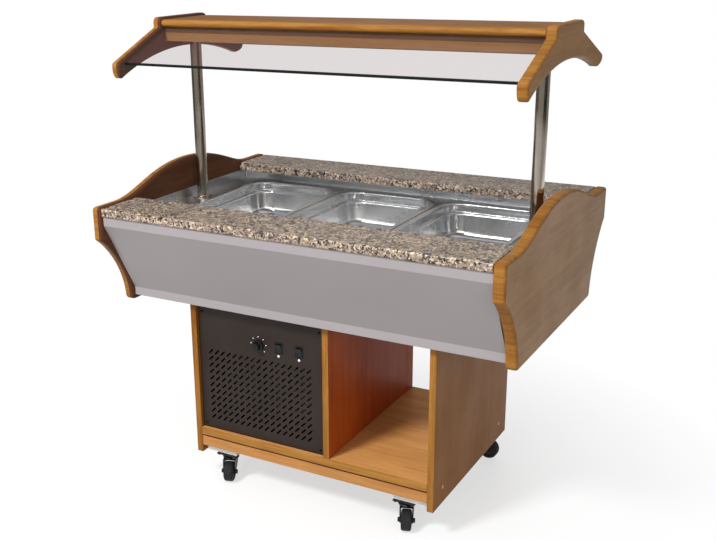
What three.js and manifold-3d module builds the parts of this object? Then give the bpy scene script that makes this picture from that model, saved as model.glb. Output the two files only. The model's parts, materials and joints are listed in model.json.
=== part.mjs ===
// A mobile refrigerated salad bar. A granite-edged well holds three full-size food pans between two
// shaped end panels. It stands on a wooden base with a condensing unit behind a slotted grille, an
// open storage bay and four swivel casters, under a glass canopy on two posts.
// Millimetres. X runs along the counter, Y to the back and Z up. The origin is on the floor under the
// middle of the counter.

import * as THREE from 'three';
import { mergeVertices } from 'three/addons/utils/BufferGeometryUtils.js';
import Module from 'manifold-3d';

const wasm = await Module();
wasm.setup();

// ---- driving dimensions ----------------------------------------------------------------------------

const gap = 0.3; // between pieces that touch
const cutMargin = 2; // how far a cutting tool runs past the face that it opens

// food pans, full gastronorm size
const panNames = ['left', 'middle', 'right'];
const panLength = 530;
const panWidth = 325;
const panDepth = 100;
const panPitch = 330;
const panSheet = 1;
const panRim = 11; // flat flange round the mouth
const panRimDrop = 4; // turned-down edge of the flange, on which the pan rests
const panRimCorner = 12;
const panMouthCorner = 46;
const panMouthRadius = 2;
const panShoulderDepth = 27;
const panShoulderStep = 5;
const panDraft = 5;
const panBottomRadius = 15;

// stainless well
const channelWidth = 75.5; // deck at each end of the row of pans, where the posts stand
const wellSheet = 1.5;
const wellDepth = 169; // deck to floor
const wellCorner = 20;
const upstandHeight = 25; // pan flange to the underside of the granite
const rimSeat = 5; // how far a pan's flange laps the deck
const barLedge = 4; // step in the basin wall that carries the cross bars
const barHeight = 12;
const barWidth = 22;
const barSheet = 1.5;
const drainRadius = 17;
const drainWall = 2.5;
const drainInset = 45; // from the basin's rear wall
const drainReach = 34; // below the ceiling of the machine bay

// foamed jacket round the well
const sideFoam = 42.9;
const floorFoam = 30;

// evaporator tube under the well's floor
const coilDiameter = 9.5;
const coilPitch = 100;
const coilTurnRadius = 45;
const coilTailBend = 6;
const coilRuns = 5;
const coilEndInset = 55; // from the basin's end walls
const coilClearance = 2; // round the tube where it passes a board
const coilSides = 6;

// stone ledges
const graniteThickness = 24;
const graniteDepth = 158;
const graniteEase = 3; // eased edges
const mouthClearance = 3; // between a pan's flange and the stone

// shaped end panels
const worktopHeight = 847;
const endPanelThickness = 32;
const endPanelRound = 5;
const endPanelReveal = 3; // past the front of the stone
const endPanelLift = 2; // above the top of the stone
const endPanelLedge = 89;
const endPanelHump = 69;
const endPanelNose = 94; // straight front edge
const endPanelFootReveal = 10; // past the foot of the apron
const endPanelSkirt = 15; // below the apron
const endPanelFootCorner = 14;
const humpStartHandle = 100;
const humpTopHandle = 170;
const flankTopHandle = [57, 43];
const flankFootHandle = [5, 74];

// bent sheet aprons
const apronSheet = 1.5;
const apronSetback = 6; // behind the front of the stone
const apronTopBand = 26;
const apronFootBand = 25;
const apronReturn = 14;
const apronOverlap = 21; // below the top of the base

// wooden base
const boardThickness = 19;
const shelfThickness = 23.5;
const baseLength = 768;
const baseDepth = 564;
const baseX = -5; // middle of the base, from the middle of the counter
const machineBayWidth = 415;
const sideDrop = 59; // side boards below the shelf
const plinthHeight = 35.7;
const plinthThickness = 16;
const plinthSetback = 2;
const runnerHeight = 56.7;
const runnerWidth = 103;
const runnerInset = 5; // from the side boards

// slotted grille and rear panel of the machine bay
const baySheet = 1.5;
const bayPanelRecess = 12; // behind the edges of the boards
const bayPanelReturn = 16;
const grilleTopGap = 17;
const slotPitch = 20.5;
const slotRowPitch = 20.7;
const slotLength = 20;
const slotWidth = 5;
const slotMargin = 40; // field to the panel's sides
const slotFieldDrop = 134.4; // top row below the panel's top
const slotFootMargin = 38; // lowest row above the panel's foot
const slotFieldShift = -4.5; // from the middle of the bay
const louvreLength = 130;
const louvreHeight = 7;
const louvrePitch = 40;
const louvreRows = 6;
const louvreFootMargin = 60;
const glandRadius = 11;
const glandHeight = 60;
const glandWall = 3;

// controls on the grille
const controlDrop = 85.3; // below the panel's top
const controlShift = -3; // dial from the middle of the bay
const controlPitch = 66;
const knobRadius = 17;
const knobGripRadius = 11.5;
const knobHeight = 18;
const knobSkirt = 4;
const shaftRadius = 3;
const shaftReach = 14;
const bushRadius = 5.5;
const bushReach = 2; // in front of the panel
const thermostatWidth = 44;
const thermostatHeight = 38;
const thermostatDepth = 28;
const bezelWidth = 25;
const bezelHeight = 33;
const bezelLip = 2;
const switchDepth = 24;
const bezelOverlap = 1.5;
const rockerWidth = 18;
const rockerHeight = 25;
const rockerDepth = 11;
const rockerWell = 1.6; // free height beyond the rocker's ends
const rockerSideGap = 0.5;
const rockerTilt = 9;
const lampRadius = 4;
const lampBarrel = 3;
const lampReach = 12;
const lampDrop = 24; // below the switches
const switchRaise = 2.5; // above the dial

// condensing unit
const compressorRadius = 74;
const compressorHeight = 168;
const compressorInset = 48; // from the left board
const compressorBack = 48; // from the rear panel
const mountHeight = 14;
const terminalDepth = 34;
const terminalWidth = 52;
const terminalHeight = 60;
const terminalRaise = 40; // above the mounting plate
const condenserWidth = 300;
const condenserHeight = 250;
const condenserDepth = 44;
const condenserFoot = 12;
const condenserFootWidth = 20;
const condenserSetback = 54; // behind the grille
const finPitch = 28;
const finThickness = 3;
const finDepth = 16;
const shroudDepth = 36;
const shroudSheet = 1.5;
const fanRadius = 100;
const fanClearance = 6;
const fanBlades = 5;
const rootChord = 24;
const tipChord = 60;
const hubRadius = 24;
const hubDepth = 24;
const bladeThickness = 2;
const rootAngle = 34; // degrees from the plane of the fan
const tipAngle = 22;
const motorRadius = 32;
const motorLength = 52;
const strapWidth = 12;
const strapSheet = 2;
const strapLap = 8;
const pipeStub = 22;

// canopy
const canopyHeight = 1340;
const bracketThickness = 29;
const bracketInset = 9; // from the outer face of the end panel
const bracketRound = 4;
const bracketShoulderDrop = 28;
const bracketShoulderRound = 14;
const archDrop = 88; // top of the arch below the canopy's top
// The two halves of a bracket, as distances from the counter's middle plane and below the canopy's top.
const bracketFront = { shoulder: 117, reach: 311, tipDrop: 108, tipHeight: 41, tipWidth: 19 };
const bracketRear = { shoulder: 113, reach: 309, tipDrop: 101, tipHeight: 29, tipWidth: 45 };
const canopyBoardDrop = 7;
const canopyBoardThickness = 20;
const canopyBoardLap = 4; // shoulder to the edge of the board
const fasciaThickness = 18;
const fasciaHeight = 40;
const fasciaSetback = 15;
const glassThickness = 5;
const glassInset = 9.8; // below the sloping edge of the bracket
const glassReach = 24; // lower edge short of the bracket's tip
const grooveDepth = 6;
const postInset = 35; // axis from the row of pans
const postDiameter = 33.7;
const postWall = 1.5;
const postFlangeRadius = 30;
const postFlangeHeight = 4;
const lampEndGap = 10.65; // to the post at each end
const lampHousingWidth = 44;
const lampHousingHeight = 16;
const holderThickness = 8;
const tubeRadius = 8;
const tubeDrop = 4; // between the housing and the tube

// casters
const wheelDiameter = 60;
const wheelWidth = 28;
const hubWidth = 31;
const axleRadius = 5;
const casterTrail = 24;
const forkSheet = 3;
const forkClearance = 6.4; // between the wheel and the crown
const cupHeight = 8;
const cupRadius = 26;
const raceHeight = 4;
const raceRadius = 17;
const kingPinRadius = 5;
const kingPinHead = 2;
const casterPlateThickness = 3;
const casterPlateLength = 64;
const casterPlateDepth = 58;
const boltHeadRadius = 7.5;
const boltHeadHeight = 5;
const wheelFacets = 16;
const casterPitchFront = 582; // from left to right
const casterPitchRear = 650;
const casterInset = 11; // plate from the front and rear edges of the base
const casterYaw = { front_left: 20, front_right: 20, rear_left: 197, rear_right: 90 };

// ---- levels and lines worked out from them ---------------------------------------------------------

const graniteUnder = worktopHeight - graniteThickness;
const flangeLevel = graniteUnder - upstandHeight;
const deckLevel = flangeLevel - panRimDrop - gap;
const wellFloor = deckLevel - wellDepth;
const coilLevel = wellFloor - wellSheet - gap - coilDiameter / 2;
const cavityFloor = coilLevel - coilDiameter / 2 - gap;
const jacketUnder = cavityFloor - floorFoam;
const baseTop = jacketUnder - gap;
const bayCeiling = baseTop - boardThickness;
const apronFoot = baseTop - apronOverlap;
const endPanelFoot = apronFoot - endPanelSkirt;

const panRowHalf = ((panNames.length - 1) * panPitch + panWidth) / 2;
const innerX = panRowHalf + channelWidth;
const outerX = innerX + endPanelThickness;
const fitX = innerX - gap; // ends of what spans the end panels
const graniteInner = panLength / 2 + mouthClearance;
const graniteOuter = graniteInner + graniteDepth;
const halfDepth = graniteOuter + endPanelReveal;
const basinX = panRowHalf - rimSeat;
const basinY = panLength / 2 - rimSeat;
const jacketY = basinY + wellSheet + sideFoam;
const apronFootY = jacketY + gap + apronSheet;
const apronTopY = graniteOuter - apronSetback;
const drainY = basinY - drainInset;

const crownUnder = wheelDiameter + forkClearance;
const cupUnder = crownUnder + forkSheet;
const raceUnder = cupUnder + cupHeight + gap;
const casterPlateUnder = raceUnder + raceHeight;
const runnerUnder = casterPlateUnder + casterPlateThickness + gap;
const shelfUnder = runnerUnder + runnerHeight + gap;
const shelfTop = shelfUnder + shelfThickness;
const sideFoot = shelfUnder - sideDrop;

const sideX = baseLength / 2 - boardThickness; // inner faces of the side boards, from the base's middle
const bayLeft = baseX - sideX;
const baseY = baseDepth / 2;
const partitionX = bayLeft + machineBayWidth;
const bayCentre = bayLeft + machineBayWidth / 2;
const bayPanelY = baseY - bayPanelRecess;
const bayPanelLeft = bayLeft + gap;
const bayPanelRight = partitionX - gap;
const bayPanelFoot = shelfTop + gap;
const grilleTop = bayCeiling - grilleTopGap;
const controlLevel = grilleTop - controlDrop;
const switchLevel = controlLevel + switchRaise;

const compressorX = bayLeft + compressorInset + compressorRadius;
const compressorY = bayPanelY - compressorBack - compressorRadius;
const condenserFront = -bayPanelY + condenserSetback;
const condenserBack = condenserFront + condenserDepth;
const shroudBack = condenserBack + shroudDepth;
const condenserFootLevel = shelfTop + gap + condenserFoot;
const condenserTop = condenserFootLevel + condenserHeight;
const fanLevel = condenserFootLevel + condenserHeight / 2;

const bracketX = outerX - bracketInset - bracketThickness; // inner faces of the brackets
const canopyBoardTop = canopyHeight - canopyBoardDrop;
const canopyBoardUnder = canopyBoardTop - canopyBoardThickness;
const postX = panRowHalf + postInset;
const lampLength = 2 * (postX - postDiameter / 2 - lampEndGap);
const bracketHalf = (side) => (side < 0 ? bracketFront : bracketRear);
const canopyBoardY = (side) => bracketHalf(side).shoulder - canopyBoardLap;
const fasciaY = (side) => canopyBoardY(side) - fasciaSetback;

// ---- tools ------------------------------------------------------------------------------------------

// A geometry as a solid that can be joined and cut.
function solidOf(geometry) {
  const bare = geometry.index ? geometry.toNonIndexed() : geometry.clone();
  bare.deleteAttribute('normal');
  bare.deleteAttribute('uv');
  const merged = mergeVertices(bare, 1e-3);
  return new wasm.Manifold(new wasm.Mesh({
    numProp: 3,
    vertProperties: merged.attributes.position.array,
    triVerts: new Uint32Array(merged.index.array),
  }));
}

// A solid as a geometry with flat facets.
function geometryOf(solid) {
  const mesh = solid.getMesh();
  const indexed = new THREE.BufferGeometry();
  indexed.setAttribute('position', new THREE.BufferAttribute(new Float32Array(mesh.vertProperties), 3));
  indexed.setIndex(new THREE.BufferAttribute(new Uint32Array(mesh.triVerts), 1));
  const geometry = indexed.toNonIndexed();
  geometry.computeVertexNormals();
  return geometry;
}

function join(...pieces) {
  return geometryOf(wasm.Manifold.union(pieces.map(solidOf)));
}

function cut(body, ...tools) {
  return geometryOf(solidOf(body).subtract(wasm.Manifold.union(tools.map(solidOf))));
}

// Two values in rising order.
function between(a, b) {
  return [Math.min(a, b), Math.max(a, b)];
}

// A block between two values of each coordinate.
function block([x0, x1], [y0, y1], [z0, z1]) {
  const geometry = new THREE.BoxGeometry(x1 - x0, y1 - y0, z1 - z0);
  return geometry.translate((x0 + x1) / 2, (y0 + y1) / 2, (z0 + z1) / 2);
}

// An outline in the Y-Z plane carried along X, with optional rounded edges that stay inside it.
function extrudeX(shape, x0, x1, round = 0) {
  const geometry = new THREE.ExtrudeGeometry(shape, {
    depth: x1 - x0 - 2 * round,
    bevelEnabled: round > 0,
    bevelThickness: round,
    bevelSize: round,
    bevelOffset: -round,
    bevelSegments: 1,
    curveSegments: 6,
  });
  const turn = new THREE.Matrix4().makeBasis(
    new THREE.Vector3(0, 1, 0),
    new THREE.Vector3(0, 0, 1),
    new THREE.Vector3(1, 0, 0),
  );
  return geometry.applyMatrix4(turn).translate(x0 + round, 0, 0);
}

// An outline in the X-Z plane carried along Y.
function extrudeY(shape, y0, y1) {
  const geometry = new THREE.ExtrudeGeometry(shape, { depth: y1 - y0, bevelEnabled: false });
  return geometry.rotateX(Math.PI / 2).translate(0, y1, 0);
}

// An outline in the X-Y plane carried along Z.
function extrudeZ(shape, z0, z1) {
  const geometry = new THREE.ExtrudeGeometry(shape, { depth: z1 - z0, bevelEnabled: false });
  return geometry.translate(0, 0, z0);
}

function polygon(points) {
  return new THREE.Shape(points.map(([u, v]) => new THREE.Vector2(u, v)));
}

function rodX(x0, x1, radius, y, z, sides = 12) {
  const geometry = new THREE.CylinderGeometry(radius, radius, x1 - x0, sides);
  return geometry.rotateZ(Math.PI / 2).translate((x0 + x1) / 2, y, z);
}

function rodY(y0, y1, radius, x, z, sides = 12) {
  const geometry = new THREE.CylinderGeometry(radius, radius, y1 - y0, sides);
  return geometry.translate(x, (y0 + y1) / 2, z);
}

function rodZ(z0, z1, radius, x, y, sides = 12) {
  const geometry = new THREE.CylinderGeometry(radius, radius, z1 - z0, sides);
  return geometry.rotateX(Math.PI / 2).translate(x, y, (z0 + z1) / 2);
}

// A profile of radius and height turned about the Y axis. It starts and ends on the axis, or returns
// to its first point.
function turned(profile, facets) {
  return new THREE.LatheGeometry(profile.map(([radius, y]) => new THREE.Vector2(radius, y)), facets);
}

// The same, turned about Z.
function turnedZ(profile, facets) {
  return turned(profile, facets).rotateX(Math.PI / 2);
}

// A rectangle with round corners as a ring of points, anticlockwise from above.
function roundedRing(halfX, halfY, corner, z, steps = 3) {
  const centres = [[1, 1], [-1, 1], [-1, -1], [1, -1]];
  return centres.flatMap(([signX, signY], quarter) =>
    Array.from({ length: steps + 1 }, (_, step) => {
      const angle = (quarter + step / steps) * Math.PI / 2;
      return new THREE.Vector3(
        signX * (halfX - corner) + corner * Math.cos(angle),
        signY * (halfY - corner) + corner * Math.sin(angle),
        z,
      );
    }));
}

// A closed skin through rings of equally many points, with a flat cap on the first and the last.
function loft(rings) {
  const count = rings[0].length;
  const faces = [];
  for (let ring = 0; ring + 1 < rings.length; ring += 1) {
    for (let i = 0; i < count; i += 1) {
      const a = ring * count + i;
      const b = ring * count + (i + 1) % count;
      faces.push(a, b, b + count, a, b + count, a + count);
    }
  }
  const last = (rings.length - 1) * count;
  for (let i = 1; i + 1 < count; i += 1) {
    faces.push(0, i + 1, i);
    faces.push(last, last + i, last + i + 1);
  }
  const geometry = new THREE.BufferGeometry();
  geometry.setFromPoints(rings.flat());
  geometry.setIndex(faces);
  geometry.computeVertexNormals();
  return geometry;
}

// A line of points moved to its left side by a distance, with mitred bends.
function offsetLine(points, distance) {
  const vectors = points.map(([u, v]) => new THREE.Vector2(u, v));
  const normals = vectors.slice(1).map((point, i) => {
    const along = point.clone().sub(vectors[i]).normalize();
    return new THREE.Vector2(-along.y, along.x);
  });
  return vectors.map((point, i) => {
    const before = normals[Math.max(i - 1, 0)];
    const after = normals[Math.min(i, normals.length - 1)];
    const mean = before.clone().add(after).normalize();
    const moved = point.clone().addScaledVector(mean, distance / mean.dot(before));
    return [moved.x, moved.y];
  });
}

// A bent sheet: a line of points thickened to its left side.
function sheetOutline(points, thickness) {
  return polygon([...points, ...offsetLine(points, thickness).reverse()]);
}

// A pressed sheet vessel. The line runs over its inside from the rim to the floor, as insets from the
// rim's outline and heights, and ringAt turns one such point into a ring.
function vessel(line, sheet, ringAt) {
  const outside = offsetLine(line, sheet);
  const rings = [...outside.reverse(), ...line].map(([inset, z]) => ringAt(inset, z));
  return loft(rings);
}

// A tube through straight legs. Each corner between two legs has its own bend radius.
function bentTube(corners, bends, radius, sides, arcSteps = 2) {
  const path = [corners[0]];
  for (let i = 1; i + 1 < corners.length; i += 1) {
    const bend = bends[i - 1];
    const into = corners[i].clone().sub(corners[i - 1]).normalize();
    const out = corners[i + 1].clone().sub(corners[i]).normalize();
    const start = corners[i].clone().addScaledVector(into, -bend);
    const centre = start.clone().addScaledVector(out, bend);
    for (let step = 0; step <= arcSteps; step += 1) {
      const angle = (step / arcSteps) * Math.PI / 2;
      path.push(centre.clone()
        .addScaledVector(out, -bend * Math.cos(angle))
        .addScaledVector(into, bend * Math.sin(angle)));
    }
  }
  path.push(corners[corners.length - 1]);
  const tangents = path.map((point, i) => {
    const before = path[Math.max(i - 1, 0)];
    const after = path[Math.min(i + 1, path.length - 1)];
    return after.clone().sub(before).normalize();
  });
  let side = new THREE.Vector3(0, 1, 0);
  if (Math.abs(tangents[0].y) > 0.9) side = new THREE.Vector3(1, 0, 0);
  const rings = path.map((point, i) => {
    side.addScaledVector(tangents[i], -side.dot(tangents[i])).normalize();
    const up = new THREE.Vector3().crossVectors(tangents[i], side);
    return Array.from({ length: sides }, (_, k) => {
      const angle = (k / sides) * 2 * Math.PI;
      return point.clone()
        .addScaledVector(side, radius * Math.cos(angle))
        .addScaledVector(up, radius * Math.sin(angle));
    });
  });
  return loft(rings);
}

// ---- materials ---------------------------------------------------------------------------------------

function material(color, roughness, metalness) {
  return new THREE.MeshStandardMaterial({ color, roughness, metalness });
}

const oak = material(0xc48a3c, 0.45, 0);
const darkOak = material(0x86502c, 0.5, 0);
const stone = material(0xaa9687, 0.25, 0);
const paintedSheet = material(0xa09a9a, 0.4, 0.3);
const stainless = material(0x8f979b, 0.25, 1);
const chrome = material(0xc8ccd0, 0.1, 1);
const blackSheet = material(0x3e342f, 0.6, 0.2);
const blackPlastic = material(0x1c1c1e, 0.5, 0);
const blackPaint = material(0x202224, 0.45, 0.2);
const rubber = material(0x2a2b2e, 0.8, 0);
const zinc = material(0x9ea3a6, 0.4, 1);
const copper = material(0xb87445, 0.3, 1);
const foam = material(0xd8d3c4, 0.9, 0);
const clearLens = material(0xf0eee8, 0.2, 0);
const whitePaint = material(0xe8e8e4, 0.5, 0);
const paleLaminate = material(0xe4e0d8, 0.5, 0);
const glass = material(0xd9cfd8, 0.05, 0);
glass.transparent = true;
glass.opacity = 0.35;

const saladBar = new THREE.Group();
saladBar.name = 'salad_bar';

function add(name, geometry, finish, parent = saladBar) {
  const mesh = new THREE.Mesh(geometry, finish);
  mesh.name = name;
  parent.add(mesh);
  return mesh;
}

function groupAt(x, y, z, parent = saladBar) {
  const group = new THREE.Group();
  group.position.set(x, y, z);
  parent.add(group);
  return group;
}

// A left-hand piece and its mirror image, each with outward faces.
function addPair(names, geometryFor, finish) {
  names.forEach((name, i) => add(name, geometryFor(i ? 1 : -1), finish));
}

// ---- end panels --------------------------------------------------------------------------------------

// The outline from the side: a foot, hollow flanks, straight noses, flat ledges and a hump on top.
function endPanelShape() {
  const footY = apronFootY + endPanelFootReveal;
  const ledge = worktopHeight + endPanelLift;
  const noseFoot = ledge - endPanelNose;
  const corner = endPanelFootCorner;
  const humpY = halfDepth - endPanelLedge;
  const humpTop = ledge + endPanelHump;
  const [flankY, flankZ] = flankTopHandle;
  const [footHandleY, footHandleZ] = flankFootHandle;
  const shape = new THREE.Shape();
  shape.moveTo(-footY + corner, endPanelFoot);
  shape.lineTo(footY - corner, endPanelFoot);
  shape.absarc(footY - corner, endPanelFoot + corner, corner, -Math.PI / 2, 0, false);
  shape.bezierCurveTo(
    footY + footHandleY, endPanelFoot + corner + footHandleZ,
    halfDepth - flankY, noseFoot - flankZ,
    halfDepth, noseFoot,
  );
  shape.lineTo(halfDepth, ledge);
  shape.lineTo(humpY, ledge);
  shape.bezierCurveTo(humpY - humpStartHandle, ledge, humpTopHandle, humpTop, 0, humpTop);
  shape.bezierCurveTo(-humpTopHandle, humpTop, -humpY + humpStartHandle, ledge, -humpY, ledge);
  shape.lineTo(-halfDepth, ledge);
  shape.lineTo(-halfDepth, noseFoot);
  shape.bezierCurveTo(
    -halfDepth + flankY, noseFoot - flankZ,
    -footY - footHandleY, endPanelFoot + corner + footHandleZ,
    -footY, endPanelFoot + corner,
  );
  shape.absarc(-footY + corner, endPanelFoot + corner, corner, Math.PI, 1.5 * Math.PI, false);
  return shape;
}

function endPanel(side) {
  const [x0, x1] = side < 0 ? [-outerX, -innerX] : [innerX, outerX];
  return extrudeX(endPanelShape(), x0, x1, endPanelRound);
}

addPair(['end_panel_left', 'end_panel_right'], endPanel, oak);

// ---- stone ledges and aprons --------------------------------------------------------------------------

function graniteLedge(side) {
  const ease = graniteEase;
  const profile = [
    [graniteInner, graniteUnder],
    [graniteOuter - ease, graniteUnder],
    [graniteOuter, graniteUnder + ease],
    [graniteOuter, worktopHeight - ease],
    [graniteOuter - ease, worktopHeight],
    [graniteInner + ease, worktopHeight],
    [graniteInner, worktopHeight - ease],
  ];
  return extrudeX(polygon(profile.map(([y, z]) => [side * y, z])), -fitX, fitX);
}

function apron(side) {
  const top = graniteUnder - gap;
  const line = [
    [apronTopY - apronReturn, top],
    [apronTopY, top],
    [apronTopY, graniteUnder - apronTopBand],
    [apronFootY, apronFoot + apronFootBand],
    [apronFootY, apronFoot],
    [apronFootY - apronReturn, apronFoot],
  ];
  const outline = sheetOutline(line, -apronSheet).getPoints();
  return extrudeX(polygon(outline.map((point) => [side * point.x, point.y])), -fitX, fitX);
}

addPair(['granite_front', 'granite_rear'], graniteLedge, stone);
addPair(['apron_front', 'apron_rear'], apron, paintedSheet);

// ---- well -----------------------------------------------------------------------------------------------

// Deck, upstand and basin in one sheet, with a ledge for the cross bars and a drain spout.
function wellTank() {
  const border = jacketY - basinY; // deck at the front and back
  const upstand = graniteUnder - gap - deckLevel;
  const barSeat = -barHeight - gap;
  const wall = border + barLedge;
  const radius = panBottomRadius;
  const line = [
    [wellSheet, upstand],
    [wellSheet, 0],
    [border, 0],
    [border, barSeat],
    [wall, barSeat],
    [wall, radius - wellDepth],
    [wall + radius, -wellDepth],
  ];
  const ringAt = (inset, z) => {
    if (inset < border / 2) return roundedRing(fitX - inset, jacketY - inset, wellSheet * 2, z, 2);
    const inward = inset - border;
    return roundedRing(basinX - inward, basinY - inward, wellCorner, z, 2);
  };
  const sheet = vessel(line, -wellSheet, ringAt).translate(0, 0, deckLevel);
  const spoutFoot = bayCeiling - drainReach;
  const drainX = bayCentre + machineBayWidth / 3;
  const spout = rodZ(spoutFoot, wellFloor - wellSheet / 2, drainRadius, drainX, drainY);
  const bore = rodZ(spoutFoot - cutMargin, wellFloor + cutMargin, drainRadius - drainWall, drainX, drainY);
  return cut(join(sheet, spout), bore);
}

const drainHole = (z0, z1) =>
  rodZ(z0, z1, drainRadius + coilClearance, bayCentre + machineBayWidth / 3, drainY);

// The evaporator's route: up from the condenser, to and fro under the floor, down to the compressor.
const coilTailFront = [bayCentre - condenserWidth / 4, (condenserFront + condenserBack) / 2];
const coilTailRear = [compressorX + compressorRadius / 2, coilTailFront[1] + (coilRuns - 1) * coilPitch];
const liquidStubTop = condenserTop + pipeStub;
const suctionStubTop = shelfTop + gap + mountHeight + compressorHeight + pipeStub;

function evaporatorCoil() {
  const farX = basinX - coilEndInset;
  const corners = [];
  const bends = [];
  const point = (x, y, z) => corners.push(new THREE.Vector3(x, y, z));
  point(...coilTailFront, liquidStubTop + gap);
  point(...coilTailFront, coilLevel);
  bends.push(coilTailBend);
  for (let run = 0; run + 1 < coilRuns; run += 1) {
    const x = run % 2 ? -farX : farX;
    const y = coilTailFront[1] + run * coilPitch;
    point(x, y, coilLevel);
    point(x, y + coilPitch, coilLevel);
    bends.push(coilTurnRadius, coilTurnRadius);
  }
  point(...coilTailRear, coilLevel);
  bends.push(coilTailBend);
  point(...coilTailRear, suctionStubTop + gap);
  return bentTube(corners, bends, coilDiameter / 2, coilSides);
}

const tubeHoles = (z0, z1) => [coilTailFront, coilTailRear].map(([x, y]) =>
  rodZ(z0, z1, coilDiameter / 2 + coilClearance, x, y));

function wellJacket() {
  const top = deckLevel - wellSheet - gap;
  const outer = block([-fitX, fitX], [-jacketY, jacketY], [jacketUnder, top]);
  const wallX = basinX + wellSheet + gap;
  const wallY = basinY + wellSheet + gap;
  const cavity = block([-wallX, wallX], [-wallY, wallY], [cavityFloor, top + cutMargin]);
  const through = [jacketUnder - cutMargin, cavityFloor + cutMargin];
  return cut(outer, cavity, drainHole(...through), ...tubeHoles(...through));
}

// A cross bar between two pans, folded from sheet, with its ends on the ledge in the basin.
function panBar(side) {
  const half = barWidth / 2;
  const line = [
    [half, deckLevel - barHeight],
    [half, deckLevel],
    [-half, deckLevel],
    [-half, deckLevel - barHeight],
  ];
  const reach = basinY - gap;
  return extrudeY(sheetOutline(line, barSheet), -reach, reach).translate(side * panPitch / 2, 0, 0);
}

add('well_tank', wellTank(), stainless);
add('well_jacket', wellJacket(), foam);
add('evaporator_coil', evaporatorCoil(), copper);
addPair(['pan_bar_left', 'pan_bar_right'], panBar, stainless);

// ---- food pans --------------------------------------------------------------------------------------------

function pan() {
  const mouth = panRim + panMouthRadius;
  const wall = mouth + panShoulderStep;
  const foot = wall + panDraft;
  const floor = panSheet - panDepth;
  const radius = panBottomRadius;
  const line = [
    [0, -panRimDrop],
    [0, -panSheet],
    [panSheet, 0],
    [panRim, 0],
    [mouth, -panMouthRadius],
    [mouth, -panShoulderDepth + panShoulderStep],
    [wall, -panShoulderDepth],
    [foot, floor + radius * 0.8],
    [foot + radius * 0.8, floor],
  ];
  const ringAt = (inset, z) => {
    const corner = inset < panRim / 2 ? panRimCorner : panMouthCorner + panRim - inset;
    return roundedRing(panWidth / 2 - inset, panLength / 2 - inset, corner, z);
  };
  return vessel(line, -panSheet, ringAt);
}

const panGeometry = pan();
panNames.forEach((name, i) => {
  const place = groupAt((i - (panNames.length - 1) / 2) * panPitch, 0, flangeLevel);
  add(`pan_${name}`, panGeometry, stainless, place);
});

// ---- wooden base ------------------------------------------------------------------------------------------

const fitBay = [baseX - sideX + gap, baseX + sideX - gap];

addPair(['base_side_left', 'base_side_right'], (side) => {
  const xs = between(baseX + side * sideX, baseX + side * (sideX + boardThickness));
  return block(xs, [-baseY, baseY], [sideFoot, baseTop]);
}, oak);
add('base_shelf', block(fitBay, [-baseY, baseY], [shelfUnder, shelfTop]), oak);
add('base_partition', block(
  [partitionX, partitionX + boardThickness],
  [-baseY, baseY],
  [shelfTop + gap, bayCeiling - gap],
), darkOak);

function baseTopPanel() {
  const through = [bayCeiling - cutMargin, baseTop + cutMargin];
  const board = block(fitBay, [-bayPanelY, bayPanelY], [bayCeiling, baseTop]);
  return cut(board, drainHole(...through), ...tubeHoles(...through));
}

add('base_top_panel', baseTopPanel(), darkOak);

const plinthOuter = baseY - plinthSetback;
const plinthInner = plinthOuter - plinthThickness;
const underShelf = shelfUnder - gap;

addPair(['plinth_front', 'plinth_rear'], (side) => {
  const ys = between(side * plinthInner, side * plinthOuter);
  return block(fitBay, ys, [underShelf - plinthHeight, underShelf]);
}, oak);
addPair(['caster_runner_left', 'caster_runner_right'], (side) => {
  const outer = sideX - runnerInset;
  const xs = between(baseX + side * (outer - runnerWidth), baseX + side * outer);
  const reach = plinthInner - gap;
  return block(xs, [-reach, reach], [runnerUnder, underShelf]);
}, paleLaminate);

// ---- machine bay panels -----------------------------------------------------------------------------------

const bushClearance = bushRadius + gap;
const barrelClearance = lampBarrel + gap;
const housingWidth = bezelWidth - 2 * bezelOverlap;
const housingHeight = bezelHeight - 2 * bezelOverlap;
const knobX = bayCentre + controlShift;
const switchXs = [knobX + controlPitch, knobX + 2 * controlPitch];
const lampLevel = switchLevel - lampDrop;

// A slanted slot, rising to the right.
function slotShape(x, z) {
  const half = slotLength / 2;
  const side = slotWidth / 2;
  const slant = Math.SQRT1_2;
  return polygon([[half, -side], [half, side], [-half, side], [-half, -side]].map(([u, v]) =>
    [x + (u - v) * slant, z + (u + v) * slant]));
}

// A sheet tray between the boards of the machine bay: a face and four returns behind it. The holes
// are tools that open it.
function bayPanel(top, holes, side) {
  const span = (near, far) => between(side * (bayPanelY - near), side * (bayPanelY - far));
  const wide = [bayPanelLeft, bayPanelRight];
  const tall = [bayPanelFoot, top];
  const hollow = block(
    [wide[0] + baySheet, wide[1] - baySheet],
    span(baySheet, bayPanelReturn + cutMargin),
    [tall[0] + baySheet, tall[1] - baySheet],
  );
  return cut(block(wide, span(0, bayPanelReturn), tall), hollow, ...holes);
}

// A block that opens the front or rear panel, given its middle and size.
function panelHole(side, x, z, width, height) {
  const ys = between(side * (bayPanelY + cutMargin), side * (bayPanelY - baySheet - cutMargin));
  return block([x - width / 2, x + width / 2], ys, [z - height / 2, z + height / 2]);
}

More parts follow.
